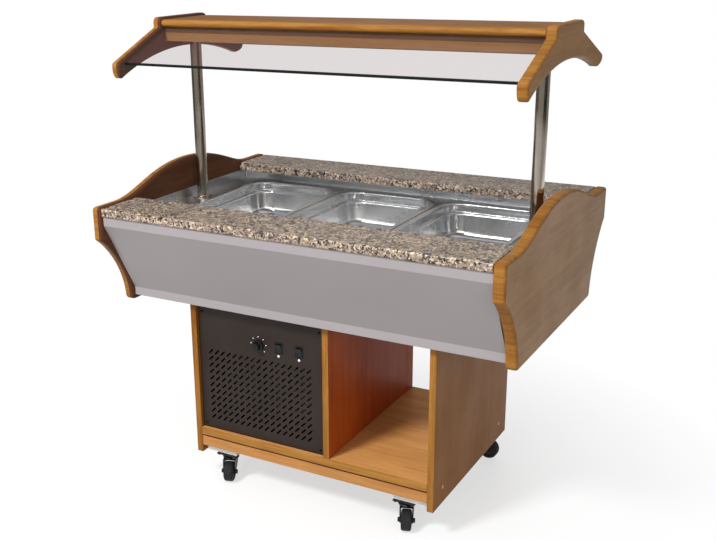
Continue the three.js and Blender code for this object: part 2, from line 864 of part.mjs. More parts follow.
function grilleHoles() {
  const columns = Math.floor((machineBayWidth - 2 * slotMargin) / slotPitch);
  const topRow = grilleTop - slotFieldDrop;
  const rows = Math.floor((topRow - bayPanelFoot - slotFootMargin) / slotRowPitch) + 1;
  const through = [-bayPanelY - cutMargin, -bayPanelY + baySheet + cutMargin];
  const slots = [];
  for (let row = 0; row < rows; row += 1) {
    for (let column = 0; column <= columns; column += 1) {
      const x = bayCentre + slotFieldShift + (column - columns / 2) * slotPitch;
      slots.push(extrudeY(slotShape(x, topRow - row * slotRowPitch), ...through));
    }
  }
  return [
    ...slots,
    rodY(...through, bushClearance, knobX, controlLevel),
    ...switchXs.map((x) => panelHole(-1, x, switchLevel, housingWidth + 2 * gap, housingHeight + 2 * gap)),
    ...switchXs.map((x) => rodY(...through, barrelClearance, x, lampLevel, 10)),
  ];
}

function louvreHoles() {
  const holes = [];
  for (let row = 0; row < louvreRows; row += 1) {
    for (const half of [-1, 1]) {
      const x = bayCentre + half * louvreLength * 0.6;
      const z = bayPanelFoot + louvreFootMargin + row * louvrePitch;
      holes.push(panelHole(1, x, z, louvreLength, louvreHeight));
    }
  }
  return holes;
}

// The rear panel carries a small round inlet gland below its louvres.
function rearServicePanel() {
  const panel = bayPanel(bayCeiling - gap, louvreHoles(), 1);
  const x = bayPanelLeft + glandHeight / 2;
  const z = bayCeiling - glandHeight;
  const [inside, outside] = [bayPanelY - bayPanelReturn / 2, bayPanelY + bayPanelRecess / 2];
  const boss = rodY(inside, outside, glandRadius, x, z, 10);
  const bore = rodY(inside - cutMargin, outside + cutMargin, glandRadius - glandWall, x, z, 10);
  return cut(join(panel, boss), bore);
}

add('grille_panel', bayPanel(grilleTop, grilleHoles(), -1), blackSheet);
add('rear_service_panel', rearServicePanel(), blackSheet);

// ---- controls ---------------------------------------------------------------------------------------------
// In each control's own frame the panel's outer face is y = 0 and the user is towards -Y.

function thermostatBody() {
  const body = block(
    [-thermostatWidth / 2, thermostatWidth / 2],
    [baySheet + gap, baySheet + gap + thermostatDepth],
    [-thermostatHeight / 2, thermostatHeight / 2],
  );
  const bush = rodY(-bushReach, baySheet + gap + cutMargin, bushRadius, 0, 0);
  const bore = rodY(-bushReach - cutMargin, shaftReach + gap, shaftRadius + gap, 0, 0);
  return cut(join(body, bush), bore);
}

function thermostatKnob() {
  const back = -bushReach - gap;
  const front = back - knobHeight;
  const body = turned([
    [0, front],
    [knobGripRadius - 1.5, front],
    [knobGripRadius, front + 1.5],
    [knobGripRadius + 1, back - knobSkirt],
    [knobRadius, back - knobSkirt + 1],
    [knobRadius, back],
    [shaftRadius, back],
    [shaftRadius, shaftReach],
    [0, shaftReach],
  ], 16);
  const rib = block([-1.5, 1.5], [front - 1, back - knobSkirt], [0, knobGripRadius + 3]);
  return join(body, rib);
}

function switchBody() {
  const bezel = block(
    [-bezelWidth / 2, bezelWidth / 2],
    [-bezelLip - gap, -gap],
    [-bezelHeight / 2, bezelHeight / 2],
  );
  const housing = block(
    [-housingWidth / 2, housingWidth / 2],
    [-bezelLip, switchDepth],
    [-housingHeight / 2, housingHeight / 2],
  );
  const free = rockerHeight / 2 + rockerWell;
  const wide = rockerWidth / 2 + rockerSideGap;
  const well = block([-wide, wide], [-bezelLip * 2, rockerDepth], [-free, free]);
  return cut(join(bezel, housing), well);
}

// A rocker with two sloping faces, drawn level about its pivot.
function switchRocker() {
  const half = rockerHeight / 2;
  const outline = polygon([
    [-4.5, half],
    [-2.2, 0],
    [-4.5, -half],
    [-1, -half],
    [rockerDepth * 0.55, -half * 0.5],
    [rockerDepth * 0.55, half * 0.5],
    [-1, half],
  ]);
  return extrudeX(outline, -rockerWidth / 2, rockerWidth / 2);
}

function indicatorLamp() {
  return turned([
    [0, -3.2],
    [lampRadius * 0.6, -2.7],
    [lampRadius, -1.2],
    [lampRadius, -gap],
    [lampBarrel, -gap],
    [lampBarrel, lampReach],
    [0, lampReach],
  ], 10);
}

const knobPlace = groupAt(knobX, -bayPanelY, controlLevel);
add('thermostat_body', thermostatBody(), blackPlastic, knobPlace);
add('thermostat_knob', thermostatKnob(), blackPlastic, knobPlace);
['left', 'right'].forEach((name, i) => {
  const place = groupAt(switchXs[i], -bayPanelY, switchLevel);
  add(`switch_body_${name}`, switchBody(), blackPlastic, place);
  const rocker = add(`switch_rocker_${name}`, switchRocker(), blackPlastic, place);
  rocker.rotation.x = THREE.MathUtils.degToRad(rockerTilt);
  add(`indicator_lamp_${name}`, indicatorLamp(), clearLens, groupAt(switchXs[i], -bayPanelY, lampLevel));
});

// ---- condensing unit --------------------------------------------------------------------------------------

// A welded pot on a mounting plate with four feet, a terminal box and a suction stub.
function compressor() {
  const pot = compressorHeight;
  const radius = compressorRadius;
  const seam = pot * 0.55;
  const body = turnedZ([
    [0, 0],
    [radius * 0.6, 0],
    [radius * 0.9, pot * 0.1],
    [radius * 0.97, pot * 0.25],
    [radius * 0.97, seam],
    [radius, seam + 2],
    [radius, seam + 8],
    [radius * 0.94, seam + 10],
    [radius * 0.92, pot * 0.8],
    [radius * 0.75, pot * 0.94],
    [radius * 0.4, pot],
    [0, pot],
  ], 12).translate(0, 0, mountHeight);
  const plateX = radius * 1.15;
  const plateY = radius * 0.8;
  const plate = block([-plateX, plateX], [-plateY, plateY], [mountHeight - 4, mountHeight + 1]);
  const feet = [[-1, -1], [-1, 1], [1, -1], [1, 1]].map(([sx, sy]) =>
    rodZ(0, mountHeight - 2, 10, sx * (plateX - 12), sy * (plateY - 12), 8));
  const boxFoot = mountHeight + terminalRaise;
  const box = block(
    [radius * 0.8, radius * 0.8 + terminalDepth],
    [-terminalWidth / 2, terminalWidth / 2],
    [boxFoot, boxFoot + terminalHeight],
  );
  const stubX = coilTailRear[0] - compressorX;
  const stubY = coilTailRear[1] - compressorY;
  const stubTop = mountHeight + pot + pipeStub;
  const stub = rodZ(mountHeight + pot * 0.6, stubTop, coilDiameter / 2, stubX, stubY, 8);
  return join(body, plate, ...feet, box, stub);
}

// A finned block on two feet with a sheet shroud behind it, open to the fan.
function condenser() {
  const half = condenserWidth / 2;
  const front = condenserFront;
  const back = condenserBack;
  const left = bayCentre - half;
  const fins = Math.floor((condenserWidth - finThickness) / finPitch) + 1;
  const start = left + (condenserWidth - (fins - 1) * finPitch) / 2;
  const comb = (edge, root) => Array.from({ length: fins }, (_, i) => {
    const x = start + i * finPitch;
    const t = finThickness / 2;
    return [[x - t, root], [x - t, edge], [x + t, edge], [x + t, root]];
  }).flat();
  const outline = [...comb(front, front + finDepth), ...comb(back, back - finDepth).reverse()];
  const heights = [condenserFootLevel, condenserTop];
  const pack = extrudeZ(polygon(outline), ...heights);
  const wide = [left, left + condenserWidth];
  const shroud = cut(
    block(wide, [back - 1, shroudBack], heights),
    block(
      [wide[0] + shroudSheet, wide[1] - shroudSheet],
      [back - 1 - cutMargin, shroudBack - shroudSheet],
      [heights[0] + shroudSheet, heights[1] - shroudSheet],
    ),
    rodY(
      shroudBack - 2 * cutMargin,
      shroudBack + cutMargin,
      fanRadius + fanClearance,
      bayCentre,
      fanLevel,
      24,
    ),
  );
  const plates = [left, left + condenserWidth - shroudSheet * 2].map((x) =>
    block([x, x + shroudSheet * 2], [front - 2, back], heights));
  const feet = [left, left + condenserWidth - condenserFootWidth].map((x) =>
    block([x, x + condenserFootWidth], [front, back], [shelfTop + gap, condenserFootLevel + 1]));
  const stub = rodZ(condenserTop - condenserHeight / 3, liquidStubTop, coilDiameter / 2, ...coilTailFront, 8);
  return join(pack, shroud, ...plates, ...feet, stub);
}

// The motor hangs behind the shroud on three straps.
function fanMotor() {
  const front = shroudBack + gap;
  const body = rodY(front, front + motorLength, motorRadius, 0, 0, 16);
  const shaft = rodY(front - hubDepth * 0.75, front + cutMargin, shaftRadius, 0, 0, 8);
  const reach = fanRadius + fanClearance + strapLap;
  const straps = [90, 210, 330].map((angle) => {
    const strap = block([0, reach], [front, front + strapSheet], [-strapWidth / 2, strapWidth / 2]);
    return strap.rotateY(THREE.MathUtils.degToRad(angle));
  });
  return join(body, shaft, ...straps);
}

// One blade as a loft of thin sections that widen and untwist from the hub to the tip.
function fanBlade() {
  const radii = [hubRadius * 0.7, fanRadius * 0.6, fanRadius * 0.98];
  const rings = radii.map((radius, i) => {
    const share = i / (radii.length - 1);
    const pitch = THREE.MathUtils.degToRad(THREE.MathUtils.lerp(rootAngle, tipAngle, share));
    const chord = THREE.MathUtils.lerp(rootChord, tipChord, share);
    return [[-1, -1], [1, -1], [1, 1], [-1, 1]].map(([u, v]) => new THREE.Vector3(
      (u * chord * Math.cos(pitch) - v * bladeThickness * Math.sin(pitch)) / 2,
      (u * chord * Math.sin(pitch) + v * bladeThickness * Math.cos(pitch)) / 2,
      radius,
    ));
  });
  return loft(rings);
}

function fan() {
  const hub = rodY(-hubDepth / 2, hubDepth / 2, hubRadius, 0, 0, 16);
  const blades = Array.from({ length: fanBlades }, (_, i) =>
    fanBlade().rotateY((i / fanBlades) * 2 * Math.PI));
  const bore = rodY(-hubDepth * 0.25, hubDepth / 2 + cutMargin, shaftRadius + gap, 0, 0, 8);
  return cut(join(hub, ...blades), bore);
}

add('compressor', compressor(), blackPaint, groupAt(compressorX, compressorY, shelfTop + gap));
add('condenser', condenser(), zinc);
const fanPlace = groupAt(bayCentre, 0, fanLevel);
add('fan_motor', fanMotor(), zinc, fanPlace);
add('fan_blades', fan(), zinc, groupAt(0, shroudBack - hubDepth * 0.7, 0, fanPlace));

// ---- canopy -----------------------------------------------------------------------------------------------

const shoulderLevel = canopyHeight - bracketShoulderDrop;
const archTop = canopyHeight - archDrop;
const tipLip = 5; // the slope ends this far short of the tip

// One half of a bracket's outline, from the middle of the top over the slope and the tip to the middle
// of the arch. Distances run outwards from the middle plane.
function bracketHalfPoints({ shoulder, reach, tipDrop, tipHeight, tipWidth }) {
  const tipTop = canopyHeight - tipDrop;
  const tipFoot = tipTop - tipHeight;
  const tipInner = reach - tipWidth;
  const rise = archTop - tipFoot;
  const archRadius = (tipInner * tipInner + rise * rise) / (2 * rise);
  const archHalf = Math.asin(tipInner / archRadius);
  const round = bracketShoulderRound;
  const half = new THREE.Path();
  half.moveTo(0, canopyHeight);
  half.lineTo(shoulder - round, canopyHeight);
  half.absarc(shoulder - round, canopyHeight - round, round, Math.PI / 2, 0, true);
  half.lineTo(shoulder, shoulderLevel);
  half.lineTo(reach - tipLip, tipTop);
  half.quadraticCurveTo(reach + 1, tipTop - 3, reach, tipTop - tipHeight * 0.45);
  half.quadraticCurveTo(reach - 3, tipFoot, tipInner + 6, tipFoot - 3);
  half.lineTo(tipInner, tipFoot);
  half.absarc(0, archTop - archRadius, archRadius, Math.PI / 2 - archHalf, Math.PI / 2, false);
  return half.getPoints(4);
}

// The outline from the side: an arch below, blunt tips, sloping edges and a round-shouldered top.
function bracketShape() {
  const front = bracketHalfPoints(bracketFront).map((point) => new THREE.Vector2(-point.x, point.y));
  const rear = bracketHalfPoints(bracketRear).slice(1, -1).reverse();
  return new THREE.Shape([...front, ...rear]);
}

// The glass lies parallel to the sloping edge of the bracket. Its section runs from the fascia down to
// the lower edge, and extra widens it on every side for the groove.
function glassSection(side, extra) {
  const { shoulder, reach, tipDrop } = bracketHalf(side);
  const high = new THREE.Vector2(shoulder, shoulderLevel);
  const low = new THREE.Vector2(reach - tipLip, canopyHeight - tipDrop);
  const along = low.clone().sub(high).normalize();
  const inward = new THREE.Vector2(along.y, -along.x);
  const onTop = (y, depth) => {
    const base = high.clone().addScaledVector(inward, depth);
    return base.addScaledVector(along, (y - base.x) / along.x);
  };
  const near = fasciaY(side) + gap - extra;
  const far = reach - glassReach + extra;
  const upper = glassInset - extra;
  const lower = glassInset + glassThickness + extra;
  const points = [onTop(near, upper), onTop(far, upper), onTop(far, lower), onTop(near, lower)];
  return polygon(points.map((point) => [side * point.x, point.y]));
}

function canopyBracket(side) {
  const faces = between(side * bracketX, side * (bracketX + bracketThickness));
  const board = extrudeX(bracketShape(), ...faces, bracketRound);
  const groove = between(side * (bracketX - cutMargin), side * (bracketX + grooveDepth));
  return cut(board, ...[-1, 1].map((edge) => extrudeX(glassSection(edge, gap), ...groove)));
}

// The top board has a half-round front and rear edge.
function canopyTopBoard() {
  const radius = canopyBoardThickness / 2;
  const centre = canopyBoardUnder + radius;
  const front = -canopyBoardY(-1) + radius;
  const rear = canopyBoardY(1) - radius;
  const shape = new THREE.Shape();
  shape.moveTo(front, canopyBoardUnder);
  shape.lineTo(rear, canopyBoardUnder);
  shape.absarc(rear, centre, radius, -Math.PI / 2, Math.PI / 2, false);
  shape.lineTo(front, canopyBoardTop);
  shape.absarc(front, centre, radius, Math.PI / 2, 1.5 * Math.PI, false);
  const reach = bracketX - gap;
  return extrudeX(shape, -reach, reach);
}

function fascia(side) {
  const ys = between(side * fasciaY(side), side * (fasciaY(side) - fasciaThickness));
  const top = canopyBoardUnder - gap;
  return block([gap - bracketX, bracketX - gap], ys, [top - fasciaHeight, top]);
}

function glassPane(side) {
  const reach = bracketX + grooveDepth - gap;
  return extrudeX(glassSection(side, 0), -reach, reach);
}

// A tube with a welded foot flange, from the deck of the well to the canopy's top board.
function post() {
  const outer = postDiameter / 2;
  const inner = outer - postWall;
  const height = canopyBoardUnder - gap - (deckLevel + gap);
  return turnedZ([
    [inner, 0],
    [postFlangeRadius, 0],
    [postFlangeRadius, postFlangeHeight - 1],
    [postFlangeRadius - 1, postFlangeHeight],
    [outer + 3, postFlangeHeight],
    [outer, postFlangeHeight + 3],
    [outer, height],
    [inner, height],
    [inner, 0],
  ], 12);
}

// A slim batten under the top board, with a holder at each end for the tube.
function lampHousing() {
  const top = canopyBoardUnder - gap;
  const under = top - lampHousingHeight;
  const half = lampHousingWidth / 2;
  const section = polygon([[-half, top], [-half + 4, under], [half - 4, under], [half, top]].reverse());
  const holderFoot = under - tubeDrop - 2 * tubeRadius;
  const holders = [-1, 1].map((side) => {
    const xs = between(side * lampLength / 2, side * (lampLength / 2 - holderThickness));
    return block(xs, [-tubeRadius - 2, tubeRadius + 2], [holderFoot, under + 1]);
  });
  return join(extrudeX(section, -lampLength / 2, lampLength / 2), ...holders);
}

function lampTube() {
  const reach = lampLength / 2 - holderThickness - gap;
  const centre = canopyBoardUnder - gap - lampHousingHeight - tubeDrop - tubeRadius;
  return rodX(-reach, reach, tubeRadius, 0, centre);
}

addPair(['canopy_bracket_left', 'canopy_bracket_right'], canopyBracket, oak);
add('canopy_top_board', canopyTopBoard(), oak);
addPair(['fascia_front', 'fascia_rear'], fascia, oak);
addPair(['glass_front', 'glass_rear'], glassPane, glass);
add('lamp_housing', lampHousing(), whitePaint);
add('lamp_tube', lampTube(), clearLens);
const postGeometry = post();
[['post_left', -1], ['post_right', 1]].forEach(([name, side]) => {
  add(name, postGeometry, chrome, groupAt(side * postX, 0, deckLevel + gap));
});

// ---- casters ----------------------------------------------------------------------------------------------
// In a caster's own frame the swivel axis is Z and the wheel trails towards -Y.

const legInner = hubWidth / 2 + 0.5;
const legOuter = legInner + forkSheet;
const wheelRadius = wheelDiameter / 2;

function casterPlate() {
  const plate = block(
    [-casterPlateLength / 2, casterPlateLength / 2],
    [-casterPlateDepth / 2, casterPlateDepth / 2],
    [casterPlateUnder, casterPlateUnder + casterPlateThickness],
  );
  const race = rodZ(raceUnder, casterPlateUnder + 1, raceRadius, 0, 0, 12);
  const pin = rodZ(crownUnder - gap - kingPinHead, raceUnder + 1, kingPinRadius, 0, 0, 6);
  const headTop = crownUnder - gap;
  const head = rodZ(headTop - kingPinHead, headTop, kingPinRadius + 2, 0, 0, 6);
  return join(plate, race, pin, head);
}

// Two legs under a crown with a bearing cup, and the axle with its bolt heads.
function casterFork() {
  const boss = 9;
  const half = cupRadius;
  const legShape = new THREE.Shape();
  legShape.moveTo(-half, cupUnder);
  legShape.lineTo(-casterTrail - boss, wheelRadius);
  legShape.absarc(-casterTrail, wheelRadius, boss, Math.PI, 2 * Math.PI, false);
  legShape.lineTo(half, cupUnder);
  const outline = new THREE.Shape(legShape.getPoints(3).reverse());
  const legs = [[-legOuter, -legInner], [legInner, legOuter]].map(([x0, x1]) => extrudeX(outline, x0, x1));
  const crown = block([-legOuter, legOuter], [-half, half], [crownUnder, cupUnder]);
  const cup = turnedZ([
    [0, cupUnder - 1],
    [half, cupUnder - 1],
    [half, cupUnder],
    [raceRadius, cupUnder + cupHeight],
    [0, cupUnder + cupHeight],
  ], 8);
  const pinHole = rodZ(crownUnder - cutMargin, raceUnder, kingPinRadius + gap, 0, 0, 10);
  const headReach = legOuter + boltHeadHeight;
  const axle = rodX(-headReach, headReach, axleRadius, -casterTrail, wheelRadius, 10);
  const heads = [[-headReach, -legOuter + 1], [legOuter - 1, headReach]].map(([x0, x1]) =>
    rodX(x0, x1, boltHeadRadius, -casterTrail, wheelRadius, 6));
  return cut(join(crown, ...legs, axle, ...heads, cup), pinHole);
}

// The wheel's facets touch the floor flat, so their inner radius is the wheel's.
function casterWheel() {
  const bore = axleRadius + gap;
  const tread = wheelRadius / Math.cos(Math.PI / wheelFacets);
  const side = wheelWidth / 2;
  const hub = hubWidth / 2;
  const profile = [
    [bore, -hub],
    [tread * 0.4, -hub],
    [tread * 0.44, -side],
    [tread * 0.9, -side],
    [tread, -side * 0.6],
    [tread, side * 0.6],
    [tread * 0.9, side],
    [tread * 0.44, side],
    [tread * 0.4, hub],
    [bore, hub],
    [bore, -hub],
  ];
  return turned(profile, wheelFacets).rotateZ(Math.PI / 2).rotateX(Math.PI / wheelFacets);
}

const casterY = baseY - casterInset - casterPlateDepth / 2;
const plateGeometry = casterPlate();
const forkGeometry = casterFork();
const wheelGeometry = casterWheel();
Object.entries(casterYaw).forEach(([name, yaw]) => {
  const front = name.startsWith('front');
  const reach = (front ? casterPitchFront : casterPitchRear) / 2;
  const x = baseX + (name.endsWith('left') ? -reach : reach);
  const place = groupAt(x, front ? -casterY : casterY, 0);
  add(`caster_plate_${name}`, plateGeometry, blackPaint, place);
  const swivel = groupAt(0, 0, 0, place);
  swivel.rotation.z = THREE.MathUtils.degToRad(yaw);
  add(`caster_fork_${name}`, forkGeometry, blackPaint, swivel);
  add(`caster_wheel_${name}`, wheelGeometry, rubber, groupAt(0, -casterTrail, wheelRadius, swivel));
});

export default saladBar;
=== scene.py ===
"""Looks of a mobile salad bar: laminate boards with oak edges, stone ledges, steel pans and a glass canopy.

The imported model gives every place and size. The surfaces made here are worked out in metres, in the
model's own frame: X along the counter, Y to the back, Z up.
"""

import functools
import json
import math

import bpy
import numpy as np
from mathutils import Matrix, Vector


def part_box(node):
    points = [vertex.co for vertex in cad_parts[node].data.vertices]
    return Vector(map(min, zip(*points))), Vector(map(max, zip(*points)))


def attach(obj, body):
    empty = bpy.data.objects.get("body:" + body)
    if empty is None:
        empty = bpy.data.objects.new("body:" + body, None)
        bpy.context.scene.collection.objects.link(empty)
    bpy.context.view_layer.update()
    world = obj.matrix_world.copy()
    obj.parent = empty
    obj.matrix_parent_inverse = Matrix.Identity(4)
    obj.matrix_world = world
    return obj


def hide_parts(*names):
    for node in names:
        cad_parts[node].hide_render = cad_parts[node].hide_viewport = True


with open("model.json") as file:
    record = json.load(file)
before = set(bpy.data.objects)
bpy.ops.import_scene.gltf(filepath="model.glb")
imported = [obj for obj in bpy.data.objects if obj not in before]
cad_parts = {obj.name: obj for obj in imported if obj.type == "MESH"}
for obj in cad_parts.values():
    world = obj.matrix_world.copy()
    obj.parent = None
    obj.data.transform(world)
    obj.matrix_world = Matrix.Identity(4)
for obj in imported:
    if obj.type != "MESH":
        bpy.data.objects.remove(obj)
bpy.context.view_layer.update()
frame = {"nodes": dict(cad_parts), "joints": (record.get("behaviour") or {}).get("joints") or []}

bl_info = {
    "name": "Salad Bar Looks",
    "version": (1, 0, 0),
    "blender": (4, 5, 0),
    "location": "View3D > Sidebar > Salad Bar",
    "description": "Builds the finishes and the fine pieces of a mobile salad bar",
    "category": "Object",
}

PHOTO_WIDTH = 716  # pixels
PHOTO_HEIGHT = 540
CORNERS = ("front_left", "front_right", "rear_left", "rear_right")
SIDES = {"left": -1, "right": 1}

# All lengths are in metres.
PLATE_LIP = 0.0004  # flat strip inside a plate's rounding, which keeps the shading of its face even
FACE_SKIN = 0.0004  # depth to which a shaped board's faces show the laminate
SHADED_ARRIS_SHIFT = 0.23  # where the painted shade of the inner arris begins, as a share of the board's half thickness
SHADED_ARRIS_BLUR = 0.0008
WOOD_ROUGHNESS = 0.45
FACE_FIGURE = 0.7  # strength of the grain on the boards' faces
LIP_FIGURE = 0.9  # and on their edges
GRAIN_STRETCH = {"X": (0.05, 1, 1), "Y": (1, 0.05, 1), "Z": (1, 1, 0.05)}
CROSS_STRETCH = (0.05, 1.7, 1.7)  # across the thickness of the shaped boards
BAY_SHADE_LAP = 0.0006  # how far the painted shade of the machine bay reaches into the boards round it
LIPPING = 0.0012  # depth of the boards' front edges
CANOPY_LIPPING = 0.010
FASCIA_UNSHADED_SHARE = 0.60  # share of the fascias' height below the strip of painted shadow from the top board's overhang
PLINTH_SHADOW_LINE = 0.0045  # painted shadow along the plinth's top, under the shelf's overhang
# Sizes of the aprons' fold bands, which take painted light.
APRON_TOP_BAND = 0.0257
APRON_FOOT_BAND = 0.025
APRON_END = 0.009
PANE_EDGE = 0.0035  # width of the dark strip at the panes' lower edges
GRIT_SCALE = 1500.0
OUTLINE_POINTS = 420
REAR_RETURN = 0.016  # from the rear panel's inner face to its outer one
SCREW_INSET = 0.014  # from the edges of a sheet panel
CAP_REACH = 0.219  # connectors from the middle of the cabinet's side
CAP_DROP = 0.022  # below the shelf's middle

CAMERA_PLACE = (1.3089, -2.5281, 1.5310)
CAMERA_YAW = 0.533  # radians to the left of +Y
CAMERA_PITCH = math.radians(-18.48)
CAMERA_ROLL = math.radians(-1.13)
CAMERA_FOCAL = 1027.257  # pixels of the photograph
CAMERA_AXIS = (300.911, 287.379)  # where the lens axis meets the photograph, in pixels

HALL_RADIUS = 6.0
HALL_SPLIT = 2.0  # height at which the low wall ends and the high one begins
HALL_HEIGHT = 4.2
HALL_SIDES = 96
# Turn from -X round by -Y, as a share of a full turn, and the wall's brightness there.
LOW_WALL_STOPS = (
    (0.00, 0.11), (0.12, 0.11), (0.14, 0.30), (0.37, 0.28), (0.39, 0.03), (0.52, 0.03), (0.54, 0.28),
    (0.74, 0.34), (0.84, 0.34), (0.87, 0.12), (1.00, 0.11),
)
HIGH_WALL_STOPS = (
    (0.00, 0.20), (0.14, 0.22), (0.21, 0.25), (0.25, 2.80), (0.35, 2.80), (0.38, 0.80), (0.60, 0.90),
    (0.74, 0.45), (0.84, 0.45), (0.87, 0.12), (1.00, 0.25),
)


def linear(red, green, blue):
    """A screen colour from 0 to 255 as the linear colour that shaders take."""
    share = np.array([red, green, blue]) / 255
    curve = np.where(share <= 0.04045, share / 12.92, ((share + 0.055) / 1.055) ** 2.4)
    return tuple(float(value) for value in curve)


def low(node):
    return np.array(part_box(node)[0])


def high(node):
    return np.array(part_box(node)[1])


def middle(node):
    return (low(node) + high(node)) / 2


# ---- properties ------------------------------------------------------------------------------------


def length(name, default, description):
    return bpy.props.FloatProperty(
        name=name, description=description, default=default, min=0, unit="LENGTH", precision=4
    )


def colour(name, rgb, description):
    return bpy.props.FloatVectorProperty(
        name=name, description=description, default=linear(*rgb), size=3, min=0, max=1, subtype="COLOR"
    )


class SaladBarSizes(bpy.types.PropertyGroup):
    """Sizes of the fine detail."""

    panel_round: length("Panel edge radius", 0.0086, "Rounding of the shaped end panels")
    bracket_round: length("Bracket edge radius", 0.007, "Rounding of the canopy brackets")
    board_round: length("Board edge radius", 0.0012, "Softened edges of the cabinet boards")
    stone_round: length("Stone edge radius", 0.0018, "Polished arris of the stone")
    fold_round: length("Fold radius", 0.0008, "Bends of the sheet metal")
    pan_sheet: length("Pan sheet", 0.0009, "Thickness of the pressed pans")
    screw_radius: length("Screw head radius", 0.0036, "Pan-head screws of the sheet panels")
    cap_radius: length("Cap radius", 0.0055, "Plastic caps over the cabinet's connectors")
    dot_radius: length("Dial dot radius", 0.0016, "Printed dots round the thermostat")
    dot_ring: length("Dial ring radius", 0.025, "Circle on which the dial's dots lie")


class SaladBarColours(bpy.types.PropertyGroup):
    """Colours of the finishes."""

    oak_edge: colour("Oak edge", (166, 117, 54), "Lacquered oak lipping")
    oak_edge_dark: colour("Oak edge grain", (124, 74, 26), "Grain of the lipping")
    face: colour("Board face", (166, 127, 84), "Brown laminate on the outer faces")
    face_dark: colour("Board face grain", (137, 99, 62), "Grain of the laminate")
    # The cabinet's outer sides take partly the laminate's own tone and partly painted shade, as a darker
    # copy of the board face.
    cabinet: colour("Cabinet side", (151, 95, 26), "Laminate on the outer sides of the cabinet")
    cabinet_dark: colour("Cabinet side grain", (127, 76, 20), "Its grain")
    canopy: colour("Canopy board", (146, 100, 53), "Laminate of the canopy's top board")
    canopy_dark: colour("Canopy board grain", (116, 73, 35), "Its grain")
    fascia: colour("Fascia", (165, 126, 81), "Laminate of the boards under the canopy's edges")
    fascia_dark: colour("Fascia grain", (138, 101, 62), "Its grain")
    # Painted shadow: the darker strip stands for the shade that the top board's overhang casts on the
    # fascias.
    fascia_band: colour("Fascia band", (104, 84, 60), "Darker strip along the top of the fascias")
    fascia_band_dark: colour("Fascia band grain", (84, 66, 46), "Its grain")
    # Painted shade: darker copies of the face laminate for the brackets' and end panels' faces towards the
    # well, standing in for the shade on them.
    bracket_inner: colour("Inner bracket face", (100, 82, 70), "Laminate on the brackets' inner faces")
    bracket_inner_dark: colour("Inner bracket face grain", (78, 62, 52), "Its grain")
    face_inner: colour("Inner board face", (110, 71, 46), "Laminate on the faces towards the well")
    face_inner_dark: colour("Inner board face grain", (75, 45, 28), "Its grain")
    inner: colour("Bay face", (186, 90, 30), "Laminate inside the open bay")
    inner_dark: colour("Bay face grain", (158, 68, 24), "Grain inside the open bay")
    shelf: colour("Shelf", (216, 158, 93), "Light laminate of the bay floor")
    shelf_dark: colour("Shelf grain", (184, 124, 66), "Grain of the bay floor")
    rail: colour("Shelf edge", (181, 131, 66), "Lipping of the bay floor")
    rail_dark: colour("Shelf edge grain", (142, 92, 38), "Its grain")
    plinth: colour("Plinth", (196, 141, 85), "Laminate of the plinth")
    plinth_dark: colour("Plinth grain", (166, 112, 60), "Its grain")
    # Painted shadow: the dark line along the plinth's top stands for the shade under the shelf's overhang.
    joint: colour("Joint", (70, 42, 22), "Shadow line under the shelf's front edge")
    # Painted shade: the inner half of the left boards' lipping is darkened for the shade that falls on it.
    arris: colour("Inner arris", (84, 50, 34), "Inner half of the left end panel's lipping")
    # Painted shade: the near black of the boards inside the closed machine bay.
    bay_shade: colour("Bay lining", (26, 19, 16), "Dark lining of the machine bay")
    # Painted shade: the near black of the slots' walls, where shade falls inside the grille.
    slot_shade: colour("Slot walls", (9, 7, 6), "Walls of the grille's slots")
    stone_base: colour("Stone base", (150, 133, 123), "Ground of the granite")
    stone_cream: colour("Stone cream", (203, 184, 158), "Pale chips")
    stone_gold: colour("Stone gold", (152, 128, 104), "Golden chips")
    stone_grey: colour("Stone grey", (78, 71, 67), "Grey chips")
    stone_dark: colour("Stone dark", (24, 20, 18), "Dark flecks")
    # Painted light: the folds' own tone stands in for how light falls on the bent strips.
    apron: colour("Apron", (157, 151, 153), "Painted sheet below the stone")
    apron_fold_light: colour("Apron border", (155, 149, 151), "Lighter border of the painted sheet")
    steel: colour("Steel", (226, 228, 230), "Bright stainless steel of the pans")
    deck_steel: colour("Deck steel", (196, 198, 200), "Satin stainless steel of the well")
    chrome: colour("Chrome", (192, 182, 168), "Polished posts")
    grille: colour("Grille", (41, 31, 26), "Dark powder coat of the grille")
    plastic: colour("Plastic", (20, 20, 21), "Switches, knob and thermostat")
    enamel: colour("Enamel", (17, 17, 18), "Casters and compressor")
    rubber: colour("Rubber", (32, 33, 36), "Caster treads")
    zinc: colour("Zinc", (88, 90, 90), "Plated parts of the condensing unit")
    copper: colour("Copper", (190, 122, 84), "Evaporator tube")
    foam: colour("Foam", (214, 206, 184), "Insulation")
    white: colour("White", (236, 235, 230), "Caster runners and lamp housing")
    marking: colour("Marking", (236, 236, 232), "Dial dots and pointer")
    glass_tint: colour("Glass tint", (109, 70, 68), "Tint of the canopy panes")
    glass_edge: colour("Glass edge", (16, 22, 19), "Cut edges of the panes")
    floor: colour("Floor", (246, 246, 246), "Studio floor")
    floor_bounce: colour("Floor bounce", (150, 146, 142), "What the floor gives back to the object")


def sizes():
    return bpy.context.scene.salad_bar_sizes


def colours():
    return bpy.context.scene.salad_bar_colours


# ---- surfaces ----------------------------------------------------------------------------------------
# A shape is a pair: an array of points and a list of faces.


